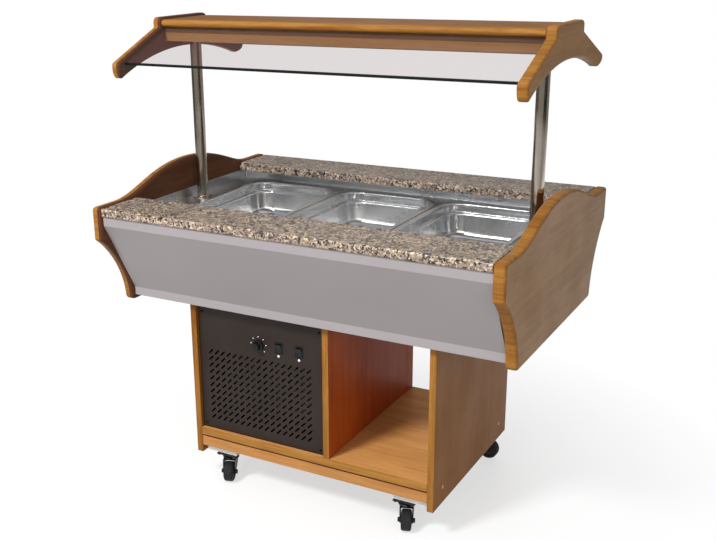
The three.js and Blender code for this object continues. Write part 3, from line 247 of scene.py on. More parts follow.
def grid(points, wrap_rows=False, wrap_columns=True, caps=True):
    """Quads over an array of rows of points. Each row may close on itself, the last row may join the
    first, and the open end rows may each be closed by one flat face."""
    rows, columns = points.shape[:2]
    row, column = np.meshgrid(
        np.arange(rows if wrap_rows else rows - 1),
        np.arange(columns if wrap_columns else columns - 1),
        indexing="ij",
    )
    row_next = (row + 1) % rows
    column_next = (column + 1) % columns
    corners = [
        row * columns + column,
        row * columns + column_next,
        row_next * columns + column_next,
        row_next * columns + column,
    ]
    faces = np.stack(corners, -1).reshape(-1, 4).tolist()
    if caps and not wrap_rows and wrap_columns:
        faces.append(list(range(columns))[::-1])
        faces.append(list(range((rows - 1) * columns, rows * columns)))
    return points.reshape(-1, 3), faces


def merge(shapes):
    """Several shapes as one."""
    points, faces, start = [], [], 0
    for shape_points, shape_faces in shapes:
        points.append(shape_points)
        faces.extend([[index + start for index in face] for face in shape_faces])
        start += len(shape_points)
    return np.concatenate(points), faces


def outward(shape):
    """The closed shape with its faces turned outwards: the sum of the signed tetrahedra between the
    middle of its points and each face is its volume, and a negative one means that the faces point
    inwards."""
    points, faces = shape
    triangles = [
        (face[0], face[i], face[i + 1]) for face in faces for i in range(1, len(face) - 1)
    ]
    corner = points[np.array(triangles)] - points.mean(0)
    volume = np.einsum("ij,ij->i", corner[:, 0], np.cross(corner[:, 1], corner[:, 2])).sum()
    return (points, [face[::-1] for face in faces]) if volume < 0 else shape


def moved(shape, turn=None, to=(0, 0, 0)):
    """The shape turned by a 3 by 3 matrix and then shifted."""
    points, faces = shape
    turned_points = points if turn is None else points @ np.array(turn).T
    return turned_points + np.array(to), faces


def turn_z(degrees):
    return np.array(Matrix.Rotation(math.radians(degrees), 3, "Z"))


FACE_FRONT = np.array(Matrix.Rotation(math.radians(90), 3, "X"))  # +Z to -Y
FACE_REAR = np.array(Matrix.Rotation(math.radians(-90), 3, "X"))  # +Z to +Y
FACE_RIGHT = np.array(Matrix.Rotation(math.radians(90), 3, "Y"))  # +Z to +X
FACE_LEFT = np.array(Matrix.Rotation(math.radians(-90), 3, "Y"))  # +Z to -X


def angles(count):
    """Equal steps round a circle, in radians."""
    return np.arange(count) / count * 2 * math.pi


def revolve(profile, facets=32, closed=False):
    """A profile of radius and height turned about Z: x = r cos a, y = r sin a. A closed profile joins
    its last point to its first, and an open one gets a flat face at each end."""
    radius, height = np.array(profile, float).T
    angle = angles(facets)
    points = np.stack(
        [
            radius[:, None] * np.cos(angle),
            radius[:, None] * np.sin(angle),
            np.repeat(height[:, None], facets, 1),
        ],
        -1,
    )
    return outward(grid(points, wrap_rows=closed))


def arc(centre, radius, start, end, steps=8):
    """Points on a circle from one angle to another, in degrees."""
    angle = np.radians(np.linspace(start, end, steps + 1))
    return np.stack([centre[0] + radius * np.cos(angle), centre[1] + radius * np.sin(angle)], -1)


def bezier(start, first, second, end, steps=24):
    """A cubic curve: the four points weighted by the Bernstein polynomials."""
    t = np.linspace(0, 1, steps + 1)[:, None]
    points = [np.array(point, float) for point in (start, first, second, end)]
    return (
        (1 - t) ** 3 * points[0]
        + 3 * (1 - t) ** 2 * t * points[1]
        + 3 * (1 - t) * t**2 * points[2]
        + t**3 * points[3]
    )


def even(points, count):
    """A closed line with its points at equal distances along it."""
    loop = np.concatenate([points, points[:1]])
    step = np.linalg.norm(np.diff(loop, axis=0), axis=1)
    keep = np.concatenate([[True], step > 1e-9])
    loop = loop[keep]
    along = np.concatenate([[0], np.cumsum(step[step > 1e-9])])
    at = np.arange(count) / count * along[-1]
    return np.stack([np.interp(at, along, loop[:, axis]) for axis in range(2)], -1)


def normals_of(points):
    """The left-hand normal at each point of a closed line, from the chord of its neighbours."""
    chord = np.roll(points, -1, 0) - np.roll(points, 1, 0)
    normal = np.stack([-chord[:, 1], chord[:, 0]], -1)
    return normal / np.linalg.norm(normal, axis=1, keepdims=True)


def area_of(points):
    """The signed area inside a closed line, by the shoelace formula."""
    following = np.roll(points, -1, 0)
    return (points[:, 0] * following[:, 1] - following[:, 0] * points[:, 1]).sum() / 2


def rounded_plate(outline, x0, x1, radius, steps=6):
    """A plate between two values of X with quarter-round edges: at the angle t round the edge, the
    outline moves inwards by radius (1 - sin t) and the plane lies radius (1 - cos t) inside the face."""
    line = outline if area_of(outline) > 0 else outline[::-1]
    normal = normals_of(line)  # points inwards on an anticlockwise line
    t = np.linspace(0, math.pi / 2, steps + 1)
    inset = np.concatenate([[radius + PLATE_LIP], radius * (1 - np.sin(t))])
    depth = np.concatenate([[0.0], radius * (1 - np.cos(t))])
    insets = np.concatenate([inset, inset[::-1]])
    xs = np.concatenate([x0 + depth, x1 - depth[::-1]])
    flat = line[None] + normal[None] * insets[:, None, None]
    column = np.repeat(xs[:, None, None], len(line), 1)
    return outward(grid(np.concatenate([column, flat], -1)))


def rounded_rectangle(half_x, half_y, corner, count):
    """A ring of points: four quarter circles of the corner radius with count / 4 points each, joined by
    straight sides."""
    quarter = count // 4
    angle = np.concatenate([np.linspace(q, q + 1, quarter) for q in range(4)]) * math.pi / 2
    sign_x = np.repeat([1, -1, -1, 1], quarter)
    sign_y = np.repeat([1, 1, -1, -1], quarter)
    return np.stack(
        [
            sign_x * (half_x - corner) + corner * np.cos(angle),
            sign_y * (half_y - corner) + corner * np.sin(angle),
        ],
        -1,
    )


def tray(line, half_x, half_y, corner_at, count=96):
    """A pressed vessel: each point of the line is an inset from the rim and a height, and becomes a
    rounded rectangle at that inset. The first and last rings are closed by flat faces."""
    rings = [
        np.concatenate(
            [
                rounded_rectangle(half_x - inset, half_y - inset, corner_at(inset), count),
                np.full((count, 1), z),
            ],
            -1,
        )
        for inset, z in line
    ]
    return outward(grid(np.stack(rings)))


def screw_head(radius, facets=24):
    """A domed head with a cross recess: its height over the radius r and angle a is a shallow dome, less
    the recess depth where the point lies within the arms of the cross."""
    share = np.linspace(1, 0.02, 9)[:, None]
    angle = angles(facets)[None]
    x, y = share * np.cos(angle), share * np.sin(angle)
    dome = 0.55 * np.sqrt(np.clip(1.08 - share**2, 0, None)) - 0.08
    arm = np.maximum(
        (np.abs(x) < 0.14) * (np.abs(y) < 0.56), (np.abs(y) < 0.14) * (np.abs(x) < 0.56)
    )
    height = dome * np.ones_like(x) - 0.26 * arm
    top = np.stack([x, y, height], -1)
    rim = np.stack([np.cos(angle[0]), np.sin(angle[0]), np.full(facets, -0.15)], -1)
    points, faces = grid(np.concatenate([rim[None], top]))
    return outward((points * radius, faces))


def dome(radius, height, facets=24, rings=6):
    """A shallow cap: height times the cosine of the share of the way out."""
    turns = np.linspace(0, math.pi / 2, rings + 1)
    profile = [(radius, -height * 0.4)]
    profile += [(radius * math.cos(turn * 0.98), height * math.sin(turn)) for turn in turns]
    return revolve(profile, facets)


# ---- pieces --------------------------------------------------------------------------------------------


def piece(name, shape, material, body="counter", stands_for=(), sharp=32):
    """A new object at the origin, riding on a body of the model."""
    points, faces = shape
    mesh = bpy.data.meshes.new(name)
    mesh.from_pydata(points.tolist(), [], faces)
    mesh.update()
    mesh.shade_smooth()
    mesh.set_sharp_from_angle(angle=math.radians(sharp))
    mesh.materials.append(material)
    made = bpy.data.objects.new(name, mesh)
    bpy.context.scene.collection.objects.link(made)
    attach(made, body)
    if stands_for:
        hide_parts(*stands_for)
    return made


def dress(names, material, soft_edge=0.0, segments=2):
    """Gives nodes of the model a material, and softens their edges with a weld and a bevel."""
    for name in names:
        node = frame["nodes"][name]
        for holder in node.material_slots:
            holder.material = material
        if soft_edge:
            weld = node.modifiers.new("weld", "WELD")
            weld.merge_threshold = 1e-5
            bevel = node.modifiers.new("soft_edge", "BEVEL")
            bevel.width = soft_edge
            bevel.segments = segments
            bevel.limit_method = "ANGLE"
            bevel.angle_limit = math.radians(35)


# ---- shader nodes ----------------------------------------------------------------------------------------


class Tree:
    """Adds and joins nodes in one shader tree."""

    def __init__(self, tree):
        self.tree = tree

    def add(self, kind, inputs=None, **settings):
        node = self.tree.nodes.new(kind)
        for key, value in settings.items():
            setattr(node, key, value)
        for key, value in (inputs or {}).items():
            self.put(node.inputs[key], value)
        return node

    def put(self, socket, value):
        if isinstance(value, bpy.types.NodeSocket):
            self.tree.links.new(value, socket)
        elif socket.type == "RGBA" and len(value) == 3:
            socket.default_value = (*value, 1)
        else:
            socket.default_value = value

    def mix(self, factor, a, b, blend="MIX"):
        node = self.add("ShaderNodeMix", data_type="RGBA", blend_type=blend)
        for index, value in ((0, factor), (6, a), (7, b)):
            self.put(node.inputs[index], value)
        return node.outputs[2]

    def math(self, operation, a, b=0.0, clamp=False):
        node = self.add("ShaderNodeMath", operation=operation, use_clamp=clamp)
        self.put(node.inputs[0], a)
        self.put(node.inputs[1], b)
        return node.outputs[0]

    def between(self, value, low_in, high_in, low_out=0.0, high_out=1.0):
        node = self.add(
            "ShaderNodeMapRange",
            {
                "Value": value,
                "From Min": low_in,
                "From Max": high_in,
                "To Min": low_out,
                "To Max": high_out,
            },
        )
        return node.outputs[0]

    def noise(self, vector, scale, detail=3.0, roughness=0.5, distortion=0.0):
        node = self.add(
            "ShaderNodeTexNoise",
            {
                "Vector": vector,
                "Scale": scale,
                "Detail": detail,
                "Roughness": roughness,
                "Distortion": distortion,
            },
        )
        return node.outputs["Fac"]

    def stretched(self, vector, scale):
        return self.add("ShaderNodeMapping", {"Vector": vector, "Scale": scale}).outputs[0]

    def split(self, vector):
        return self.add("ShaderNodeSeparateXYZ", {"Vector": vector}).outputs

    def ramp(self, value, stops, interpolation="LINEAR"):
        """The tone at a value, from pairs of a position and a tone."""
        node = self.add("ShaderNodeValToRGB", {"Fac": value})
        node.color_ramp.interpolation = interpolation
        elements = node.color_ramp.elements
        while len(elements) < len(stops):
            elements.new(0.5)
        for element, (position, tone) in zip(elements, stops):
            element.position = position
            element.color = (*tone, 1)
        return node.outputs["Color"]


def group_tree(name, inputs, outputs):
    """An empty node group with named sockets, and a Tree over it."""
    group = bpy.data.node_groups.new(name, "ShaderNodeTree")
    for label, kind, default in inputs:
        socket = group.interface.new_socket(label, in_out="INPUT", socket_type=kind)
        if default is not None:
            socket.default_value = default
    for label, kind in outputs:
        group.interface.new_socket(label, in_out="OUTPUT", socket_type=kind)
    tree = Tree(group)
    return group, tree, tree.add("NodeGroupInput"), tree.add("NodeGroupOutput")


def wood_grain_group():
    """Wood figure: broad bands, fine lines and short dark pores, all long along the stretched axis."""
    group, tree, given, made = group_tree(
        "wood_grain",
        [
            ("Vector", "NodeSocketVector", None),
            ("Light", "NodeSocketColor", (1, 1, 1, 1)),
            ("Dark", "NodeSocketColor", (0, 0, 0, 1)),
            ("Figure", "NodeSocketFloat", 1.0),
        ],
        [("Color", "NodeSocketColor"), ("Height", "NodeSocketFloat")],
    )
    vector = given.outputs["Vector"]
    broad = tree.noise(vector, 22.0, 3.0, 0.5, 1.2)
    lines = tree.noise(vector, 190.0, 4.0, 0.6, 0.3)
    pores = tree.noise(vector, 620.0, 2.0, 0.6)
    figure = tree.math("ADD", tree.math("MULTIPLY", broad, 0.5), tree.math("MULTIPLY", lines, 0.5))
    share = tree.between(figure, 0.38, 0.62)
    share = tree.math("MULTIPLY", share, given.outputs["Figure"], clamp=True)
    body = tree.mix(share, given.outputs["Light"], given.outputs["Dark"])
    pore = tree.between(pores, 0.60, 0.70)
    depth = tree.math("MULTIPLY", given.outputs["Figure"], 0.55)
    pore_share = tree.math("MULTIPLY", pore, depth, clamp=True)
    tree.put(made.inputs["Color"], tree.mix(pore_share, body, given.outputs["Dark"]))
    tree.put(made.inputs["Height"], tree.math("SUBTRACT", lines, pore))
    return group


def mottle_group():
    """Uneven tone: the colour darkens by the amount where a soft noise is low."""
    group, tree, given, made = group_tree(
        "mottle",
        [
            ("Vector", "NodeSocketVector", None),
            ("Color", "NodeSocketColor", (1, 1, 1, 1)),
            ("Amount", "NodeSocketFloat", 0.1),
            ("Scale", "NodeSocketFloat", 10.0),
        ],
        [("Color", "NodeSocketColor"), ("Mask", "NodeSocketFloat")],
    )
    patch = tree.noise(given.outputs["Vector"], given.outputs["Scale"], 4.0, 0.55)
    mask = tree.between(patch, 0.35, 0.65)
    share = tree.math("MULTIPLY", mask, given.outputs["Amount"], clamp=True)
    tree.put(made.inputs["Color"], tree.mix(share, given.outputs["Color"], (0, 0, 0)))
    tree.put(made.inputs["Mask"], mask)
    return group


def brushed_group():
    """Fine parallel scratches: two noises on a vector that is stretched along the grinding direction."""
    group, tree, given, made = group_tree(
        "brushed",
        [("Vector", "NodeSocketVector", None), ("Scale", "NodeSocketFloat", 900.0)],
        [("Mask", "NodeSocketFloat"), ("Height", "NodeSocketFloat")],
    )
    fine = tree.noise(given.outputs["Vector"], given.outputs["Scale"], 2.0)
    coarse = tree.noise(
        given.outputs["Vector"], tree.math("MULTIPLY", given.outputs["Scale"], 0.23), 2.0
    )
    total = tree.math("ADD", tree.math("MULTIPLY", fine, 0.6), tree.math("MULTIPLY", coarse, 0.4))
    tree.put(made.inputs["Mask"], total)
    tree.put(made.inputs["Height"], fine)
    return group


GROUPS = {}


def shared(name):
    """One of the shared effects, built the first time that it is asked for."""
    makers = {"wood_grain": wood_grain_group, "mottle": mottle_group, "brushed": brushed_group}
    if name not in GROUPS:
        GROUPS[name] = makers[name]()
    return GROUPS[name]


def effect(tree, name, inputs):
    """A shared effect placed in a material, with its own values."""
    node = tree.add("ShaderNodeGroup", node_tree=shared(name))
    for key, value in inputs.items():
        tree.put(node.inputs[key], value)
    return node


# ---- materials -------------------------------------------------------------------------------------------

MATERIALS = {}


def finish_tree(name, roughness=0.5, metallic=0.0, coat=0.0, specular=0.5):
    """A new material with its Principled BSDF, a Tree over it and the object's coordinates."""
    material = bpy.data.materials.new(name)
    material.use_nodes = True
    tree = Tree(material.node_tree)
    shader = material.node_tree.nodes["Principled BSDF"]
    shader.inputs["Roughness"].default_value = roughness
    shader.inputs["Metallic"].default_value = metallic
    shader.inputs["Coat Weight"].default_value = coat
    shader.inputs["Coat Roughness"].default_value = 0.15
    shader.inputs["Specular IOR Level"].default_value = specular
    place = tree.add("ShaderNodeTexCoord").outputs["Object"]
    return material, tree, shader, place


def made_once(make):
    """Keeps each material by its name, so that a second call gives the first one back."""

    @functools.wraps(make)
    def ready(name, *values, **options):
        if name not in MATERIALS:
            MATERIALS[name] = make(name, *values, **options)
        return MATERIALS[name]

    return ready


def bump(tree, shader, height, strength, distance):
    """Relief that bends the shading."""
    node = tree.add("ShaderNodeBump", {"Height": height, "Strength": strength, "Distance": distance})
    tree.put(shader.inputs["Normal"], node.outputs[0])


def grit(tree, shader, place, strength):
    """The fine relief of a sprayed or moulded skin."""
    bump(tree, shader, tree.noise(place, GRIT_SCALE, 2.0), strength, 0.0003)


def weathered(tree, shader, place, tone, amount, scale, gloss=None):
    """Mottles the base colour, and with it the roughness between the two values of gloss."""
    worn = effect(tree, "mottle", {"Vector": place, "Color": tone, "Amount": amount, "Scale": scale})
    tree.put(shader.inputs["Base Color"], worn.outputs["Color"])
    if gloss:
        tree.put(shader.inputs["Roughness"], tree.between(worn.outputs["Mask"], 0, 1, *gloss))
    return worn.outputs


@made_once
def wood(name, grain, face, edge=None, lipped=None, lip_stretch=None, inner=None, arris=None, bay_shade_box=()):
    """Grained board. face, edge and inner name a colour, whose grain has the same name and _dark. lipped
    gives the axis, the middle and the half width of the band in which the face shows: nearer the middle
    than that, or further for a plate's two faces, shows the edge. inner is for a plate's face that is
    turned to the middle of the counter, a darker colour that is painted shade, and arris for that half of
    its edge, also painted shade. The last argument gives axes with the range in which the machine bay's
    near black painted shade covers the board."""
    material, tree, shader, place = finish_tree(name, WOOD_ROUGHNESS, specular=0.12)
    own = colours()
    along = tree.split(place)

    def tones(key):
        return getattr(own, key), getattr(own, f"{key}_dark", getattr(own, key))

    def grained(light, dark, stretch, figure):
        vector = tree.stretched(place, stretch)
        values = {"Vector": vector, "Light": light, "Dark": dark, "Figure": figure}
        return effect(tree, "wood_grain", values).outputs

    light, dark = tones(face)
    # Painted shade: faces turned to the middle of the counter take the darker copy of the face.
    if inner:
        outside = tree.math("GREATER_THAN", tree.math("ABSOLUTE", along["X"]), lipped[1])
        light, dark = (tree.mix(outside, within, out) for within, out in zip(tones(inner), (light, dark)))
    surface = grained(light, dark, GRAIN_STRETCH[grain], FACE_FIGURE)
    tone = surface["Color"]
    if edge:
        axis, centre, half, beyond = lipped
        lip = grained(*tones(edge), lip_stretch or GRAIN_STRETCH[grain], LIP_FIGURE)["Color"]
        across = tree.math("ABSOLUTE", along[axis])
        off = tree.math("ABSOLUTE", tree.math("SUBTRACT", across, centre))
        mask = tree.math("GREATER_THAN" if beyond == "edge" else "LESS_THAN", off, half)
        # Painted shade: the half of the lipping towards the well is darkened.
        if arris:
            line = centre - SHADED_ARRIS_SHIFT * half
            shaded_half = tree.between(across, line - SHADED_ARRIS_BLUR, line + SHADED_ARRIS_BLUR, 1.0, 0.0)
            lip = tree.mix(shaded_half, lip, getattr(own, arris))
        tone = tree.mix(mask, tone, lip)
    # Painted shade inside the machine bay.
    if bay_shade_box:
        inside = 1.0
        for axis, start, end in bay_shade_box:
            inside = tree.math("MULTIPLY", inside, tree.math("GREATER_THAN", along[axis], start))
            inside = tree.math("MULTIPLY", inside, tree.math("LESS_THAN", along[axis], end))
        tone = tree.mix(inside, tone, own.bay_shade)
    gloss = (WOOD_ROUGHNESS - 0.05, WOOD_ROUGHNESS + 0.06)
    weathered(tree, shader, place, tone, 0.10, 5.0, gloss)
    bump(tree, shader, surface["Height"], 0.08, 0.0005)
    return material


@made_once
def stone(name):
    """Granite: cells of two sizes take a palette colour by their random value, their borders bent by a
    noise, under a polish."""
    material, tree, shader, place = finish_tree(name, 0.32, coat=0.15)
    own = colours()
    base, cream, gold, grey, dark = (
        getattr(own, f"stone_{key}") for key in ("base", "cream", "gold", "grey", "dark")
    )
    bend = tree.add("ShaderNodeTexNoise", {"Vector": place, "Scale": 95.0, "Detail": 3.0})
    push = tree.add(
        "ShaderNodeVectorMath", {0: bend.outputs["Color"], 1: (0.010, 0.010, 0.010)}, operation="MULTIPLY"
    )
    bent = tree.add("ShaderNodeVectorMath", {0: place, 1: push.outputs[0]}, operation="ADD").outputs[0]

    def palette(scale, stops):
        cells = tree.add("ShaderNodeTexVoronoi", {"Vector": bent, "Scale": scale})
        value = tree.add("ShaderNodeSeparateColor", {"Color": cells.outputs["Color"]}).outputs[0]
        return tree.ramp(value, stops, "CONSTANT")

    large = palette(126.0, [(0.0, base), (0.34, cream), (0.56, gold), (0.72, grey), (0.86, dark)])
    small = palette(265.0, [(0.0, dark), (0.26, grey), (0.48, base), (0.74, cream), (0.88, gold)])
    picked = tree.between(tree.noise(place, 150.0, 2.0), 0.46, 0.54)
    tree.put(shader.inputs["Base Color"], tree.mix(picked, large, small))
    worn = effect(tree, "mottle", {"Vector": place, "Amount": 0.2, "Scale": 14.0})
    tree.put(shader.inputs["Roughness"], tree.between(worn.outputs["Mask"], 0, 1, 0.28, 0.38))
    return material


@made_once
def plain(name, tone, roughness, metallic=0.0, mottled=0.08, scale=9.0, gritty=0.0, coat=0.0, specular=0.3):
    """A plain finish whose tone and gloss vary softly, with a fine grit in the surface if asked."""
    material, tree, shader, place = finish_tree(name, roughness, metallic, coat, specular)
    gloss = (max(roughness - 0.05, 0.02), roughness + 0.06)
    weathered(tree, shader, place, tone, mottled, scale, gloss)
    if gritty:
        grit(tree, shader, place, gritty)
    return material


@made_once
def punched_coat(name):
    """Powder coat of the grille. The walls of its slots, whose normals lie across Y, are nearly black with
    painted shade.
    """
    material, tree, shader, place = finish_tree(name, 0.55, specular=0.3)
    own = colours()
    facing = tree.split(tree.add("ShaderNodeNewGeometry").outputs["Normal"])["Y"]
    # Painted shade on the walls of the slots.
    wall = tree.math("LESS_THAN", tree.math("ABSOLUTE", facing), 0.5)
    weathered(tree, shader, place, tree.mix(wall, own.grille, own.slot_shade), 0.12, 8.0, (0.50, 0.61))
    grit(tree, shader, place, 0.25)
    return material


@made_once
def ground_steel(name, tone, roughness, stretch, depth):
    """Ground steel: the scratches run along the axis on which the vector is squeezed, and change both
    the gloss and the surface."""
    material, tree, shader, place = finish_tree(name, roughness, 1.0)
    lines = effect(tree, "brushed", {"Vector": tree.stretched(place, stretch), "Scale": 1300.0}).outputs
    worn = weathered(tree, shader, place, tone, 0.08, 7.0)
    halves = (tree.math("MULTIPLY", mask, 0.5) for mask in (lines["Mask"], worn["Mask"]))
    gloss = tree.between(tree.math("ADD", *halves), 0.2, 0.8, roughness - 0.06, roughness + 0.08)
    tree.put(shader.inputs["Roughness"], gloss)
    bump(tree, shader, lines["Height"], depth, 0.0002)
    return material


@made_once
def apron_paint_with_fold_light(name):
    """Satin paint of the aprons, with painted light: the folds at the top and foot and the ends take their
    own tone, for the light on the bent strips.
    """
    material, tree, shader, place = finish_tree(name, 0.45, specular=0.3)
    own = colours()
    along = tree.split(place)
    reach, _, top = high("apron_front") - np.array([APRON_END, 0, APRON_TOP_BAND])
    foot = low("apron_front")[2] + APRON_FOOT_BAND
    off = tree.math("ABSOLUTE", tree.math("SUBTRACT", along["Z"], (top + foot) / 2))
    folds = tree.math("GREATER_THAN", off, (top - foot) / 2)
    ends = tree.math("GREATER_THAN", tree.math("ABSOLUTE", along["X"]), reach)
    # Painted light on the folds and ends.
    tone = tree.mix(tree.math("MAXIMUM", folds, ends), own.apron, own.apron_fold_light)
    weathered(tree, shader, place, tone, 0.03, 3.0, (0.40, 0.50))
    grit(tree, shader, place, 0.04)
    return material


@made_once
def glass(name):
    """Clear panes with a faint tint. Near the ends of the section, the cut edge shows dark."""
    material, tree, shader, place = finish_tree(name, 0.03)
    own = colours()
    shader.inputs["IOR"].default_value = 1.45
    reach = float(np.abs([low("glass_front")[1], high("glass_front")[1]]).max())
    edge = tree.math("GREATER_THAN", tree.math("ABSOLUTE", tree.split(place)["Y"]), reach - PANE_EDGE)
    smear = weathered(tree, shader, place, own.glass_tint, 0.03, 3.0, (0.02, 0.05))
    tree.put(shader.inputs["Base Color"], tree.mix(edge, smear["Color"], own.glass_edge))
    tree.put(shader.inputs["Alpha"], tree.between(edge, 0, 1, 0.18, 1.0))
    return material


# ---- outlines --------------------------------------------------------------------------------------------


def mirrored(half):
    """A half outline with positive distances, from the bottom middle to the top middle, as a whole one."""
    other = half[::-1] * np.array([-1, 1])
    return np.concatenate([half, other])


def end_panel_outline():
    """Foot, hollow flank, straight nose, flat ledge and hump, as arcs and cubic curves. The values are
    those of the model's source."""
    foot_y, foot_z = 0.3162, 0.5468
    corner, nose_corner = 0.014, 0.009
    depth, ledge, nose_foot = 0.429, 0.849, 0.755
    hump_y, hump_z = 0.340, 0.918
    half = np.concatenate(
        [
            [(0, foot_z)],
            arc((foot_y - corner, foot_z + corner), corner, -90, 0),
            bezier(
                (foot_y, foot_z + corner),
                (foot_y + 0.005, foot_z + corner + 0.074),
                (depth - 0.057, nose_foot - 0.043),
                (depth, nose_foot),
            ),
            arc((depth - nose_corner, ledge - nose_corner), nose_corner, 0, 90),
            bezier((hump_y, ledge), (hump_y - 0.100, ledge), (0.170, hump_z), (0, hump_z)),
        ]
    )
    return even(mirrored(half), OUTLINE_POINTS)


def bracket_half(shoulder, reach, tip_drop, tip_height, tip_width):
    """One half of a bracket, from the middle of the top over the slope and the tip to the arch."""
    top, shoulder_z, arch_top, round_ = 1.340, 1.312, 1.252, 0.014
    tip_top = top - tip_drop
    tip_foot = tip_top - tip_height
    tip_inner = reach - tip_width
    rise = arch_top - tip_foot
    radius = (tip_inner**2 + rise**2) / (2 * rise)
    half_angle = math.degrees(math.asin(tip_inner / radius))
    side = (reach, tip_top - tip_height * 0.45)

    def quadratic(start, pull, end):
        start, pull, end = (np.array(point) for point in (start, pull, end))
        return bezier(start, start + (pull - start) * 2 / 3, end + (pull - end) * 2 / 3, end, 8)

    return np.concatenate(
        [
            [(0, top)],
            arc((shoulder - round_, top - round_), round_, 90, 0),
            [(shoulder, shoulder_z), (reach - 0.005, tip_top)],
            quadratic((reach - 0.005, tip_top), (reach + 0.001, tip_top - 0.003), side),
            quadratic(side, (reach - 0.003, tip_foot), (tip_inner + 0.006, tip_foot - 0.003)),
            arc((0, arch_top - radius), radius, 90 - half_angle, 90, 24),
        ]
    )


def bracket_outline():
    """Both halves of a bracket. The front one reaches a little further."""
    front = bracket_half(0.117, 0.311, 0.108, 0.041, 0.019) * np.array([-1, 1])
    rear = bracket_half(0.113, 0.309, 0.101, 0.029, 0.045)
    return even(np.concatenate([front, rear[::-1][1:]]), OUTLINE_POINTS)


# ---- operators -------------------------------------------------------------------------------------------


def shaped_boards(kind, label, outline, radius, inner):
    """The left and right one of a shaped board, with rounded oak edges."""
    for side in SIDES:
        node = f"{kind}_{side}"
        x0, x1 = low(node)[0], high(node)[0]
        band = (0, abs(x0 + x1) / 2, (x1 - x0) / 2 - FACE_SKIN, "face")
        # Painted shade on the inner arris, for the left boards only.
        arris = "arris" if side == "left" else None
        finish = wood(f"{label}_board_{side}", "Y", "face", "oak_edge", band, CROSS_STRETCH, inner, arris)
        shape = rounded_plate(outline, x0, x1, radius)
        piece(f"{node}_board", shape, finish, stands_for=[node], sharp=50)


class MakePiece(bpy.types.Operator):
    """Base of the operators: runs build and reports that it is done."""

    bl_idname = "salad_bar.make_piece"
    bl_label = "Piece"
    bl_options = {"REGISTER", "UNDO"}

    def execute(self, context):
        self.build()
        return {"FINISHED"}

    def build(self):
        raise NotImplementedError


class SALADBAR_OT_end_panels(MakePiece):
    """Builds the two shaped end panels with rounded oak edges"""

    bl_idname = "salad_bar.end_panels"
    bl_label = "End Panels"

    def build(self):
        shaped_boards("end_panel", "panel", end_panel_outline(), sizes().panel_round, "face_inner")


class SALADBAR_OT_brackets(MakePiece):
    """Builds the two canopy brackets with rounded oak edges"""

    bl_idname = "salad_bar.brackets"
    bl_label = "Canopy Brackets"

    def build(self):
        outline = bracket_outline()
        shaped_boards("canopy_bracket", "bracket", outline, sizes().bracket_round, "bracket_inner")


class SALADBAR_OT_boards(MakePiece):
    """Finishes the cabinet's boards, the canopy's top board and the fascias"""

    bl_idname = "salad_bar.boards"
    bl_label = "Boards"

    def build(self):
        soft = sizes().board_round
        front = (1, 0, high("base_side_left")[1] - LIPPING, "edge")
        canopy = (1, 0, high("canopy_top_board")[1] - CANOPY_LIPPING, "edge")
        # The box inside the machine bay that takes the painted shade.
        bay = (
            ("X", high("base_side_left")[0] - BAY_SHADE_LAP, low("base_partition")[0] + BAY_SHADE_LAP),
            ("Y", high("grille_panel")[1], low("rear_service_panel")[1]),
            ("Z", high("base_shelf")[2] - BAY_SHADE_LAP, low("base_top_panel")[2] + BAY_SHADE_LAP),
        )
        foot, top = low("plinth_front")[2], high("plinth_front")[2]
        # The plinth's top band takes the painted shadow under the shelf's overhang.
        joint = (2, foot, top - foot - PLINTH_SHADOW_LINE, "edge")
        foot, top = low("fascia_front")[2], high("fascia_front")[2]
        # The fascias' top strip takes the painted shadow of the top board's overhang.
        strip = (2, foot, (top - foot) * FASCIA_UNSHADED_SHARE, "edge")
        for nodes, name, grain, face, edge, band, bay_shade_box in (
            (("base_side_left", "base_side_right"), "side", "Z", "cabinet", "oak_edge", front, bay),
            (("base_partition",), "partition", "Z", "inner", "oak_edge", front, bay),
            (("base_top_panel",), "ceiling", "X", "inner", None, None, ()),
            (("base_shelf",), "shelf", "X", "shelf", "rail", front, bay),
            (("plinth_front", "plinth_rear"), "plinth", "X", "plinth", "joint", joint, ()),
            (("canopy_top_board",), "canopy", "X", "canopy", "oak_edge", canopy, ()),
            (("fascia_front", "fascia_rear"), "fascia", "X", "fascia", "fascia_band", strip, ()),
        ):
            dress(nodes, wood(f"{name}_board", grain, face, edge, band, bay_shade_box=bay_shade_box), soft)
        runners = plain("runner_laminate", colours().white, 0.5, mottled=0.04)
        dress(["caster_runner_left", "caster_runner_right"], runners, soft)


class SALADBAR_OT_stone(MakePiece):
    """Finishes the two stone ledges"""

    bl_idname = "salad_bar.stone"
    bl_label = "Stone Ledges"

    def build(self):
        dress(["granite_front", "granite_rear"], stone("granite"), sizes().stone_round, 3)


class SALADBAR_OT_sheet(MakePiece):
    """Finishes the aprons, the well with its jacket, and the cross bars between the pans"""

    bl_idname = "salad_bar.sheet"
    bl_label = "Sheet Metal"

    def build(self):
        own, fold = colours(), sizes().fold_round
        dress(["apron_front", "apron_rear"], apron_paint_with_fold_light("apron_paint"), fold)
        deck = ground_steel("well_steel", own.deck_steel, 0.30, (0.02, 1, 1), 0.002)
        dress(["well_tank"], deck, fold)
        bars = ground_steel("bar_steel", own.deck_steel, 0.30, (1, 0.02, 1), 0.002)
        dress(["pan_bar_left", "pan_bar_right"], bars, fold)
        dress(["well_jacket"], plain("jacket_foam", own.foam, 0.9, mottled=0.2, scale=60.0, gritty=0.6))


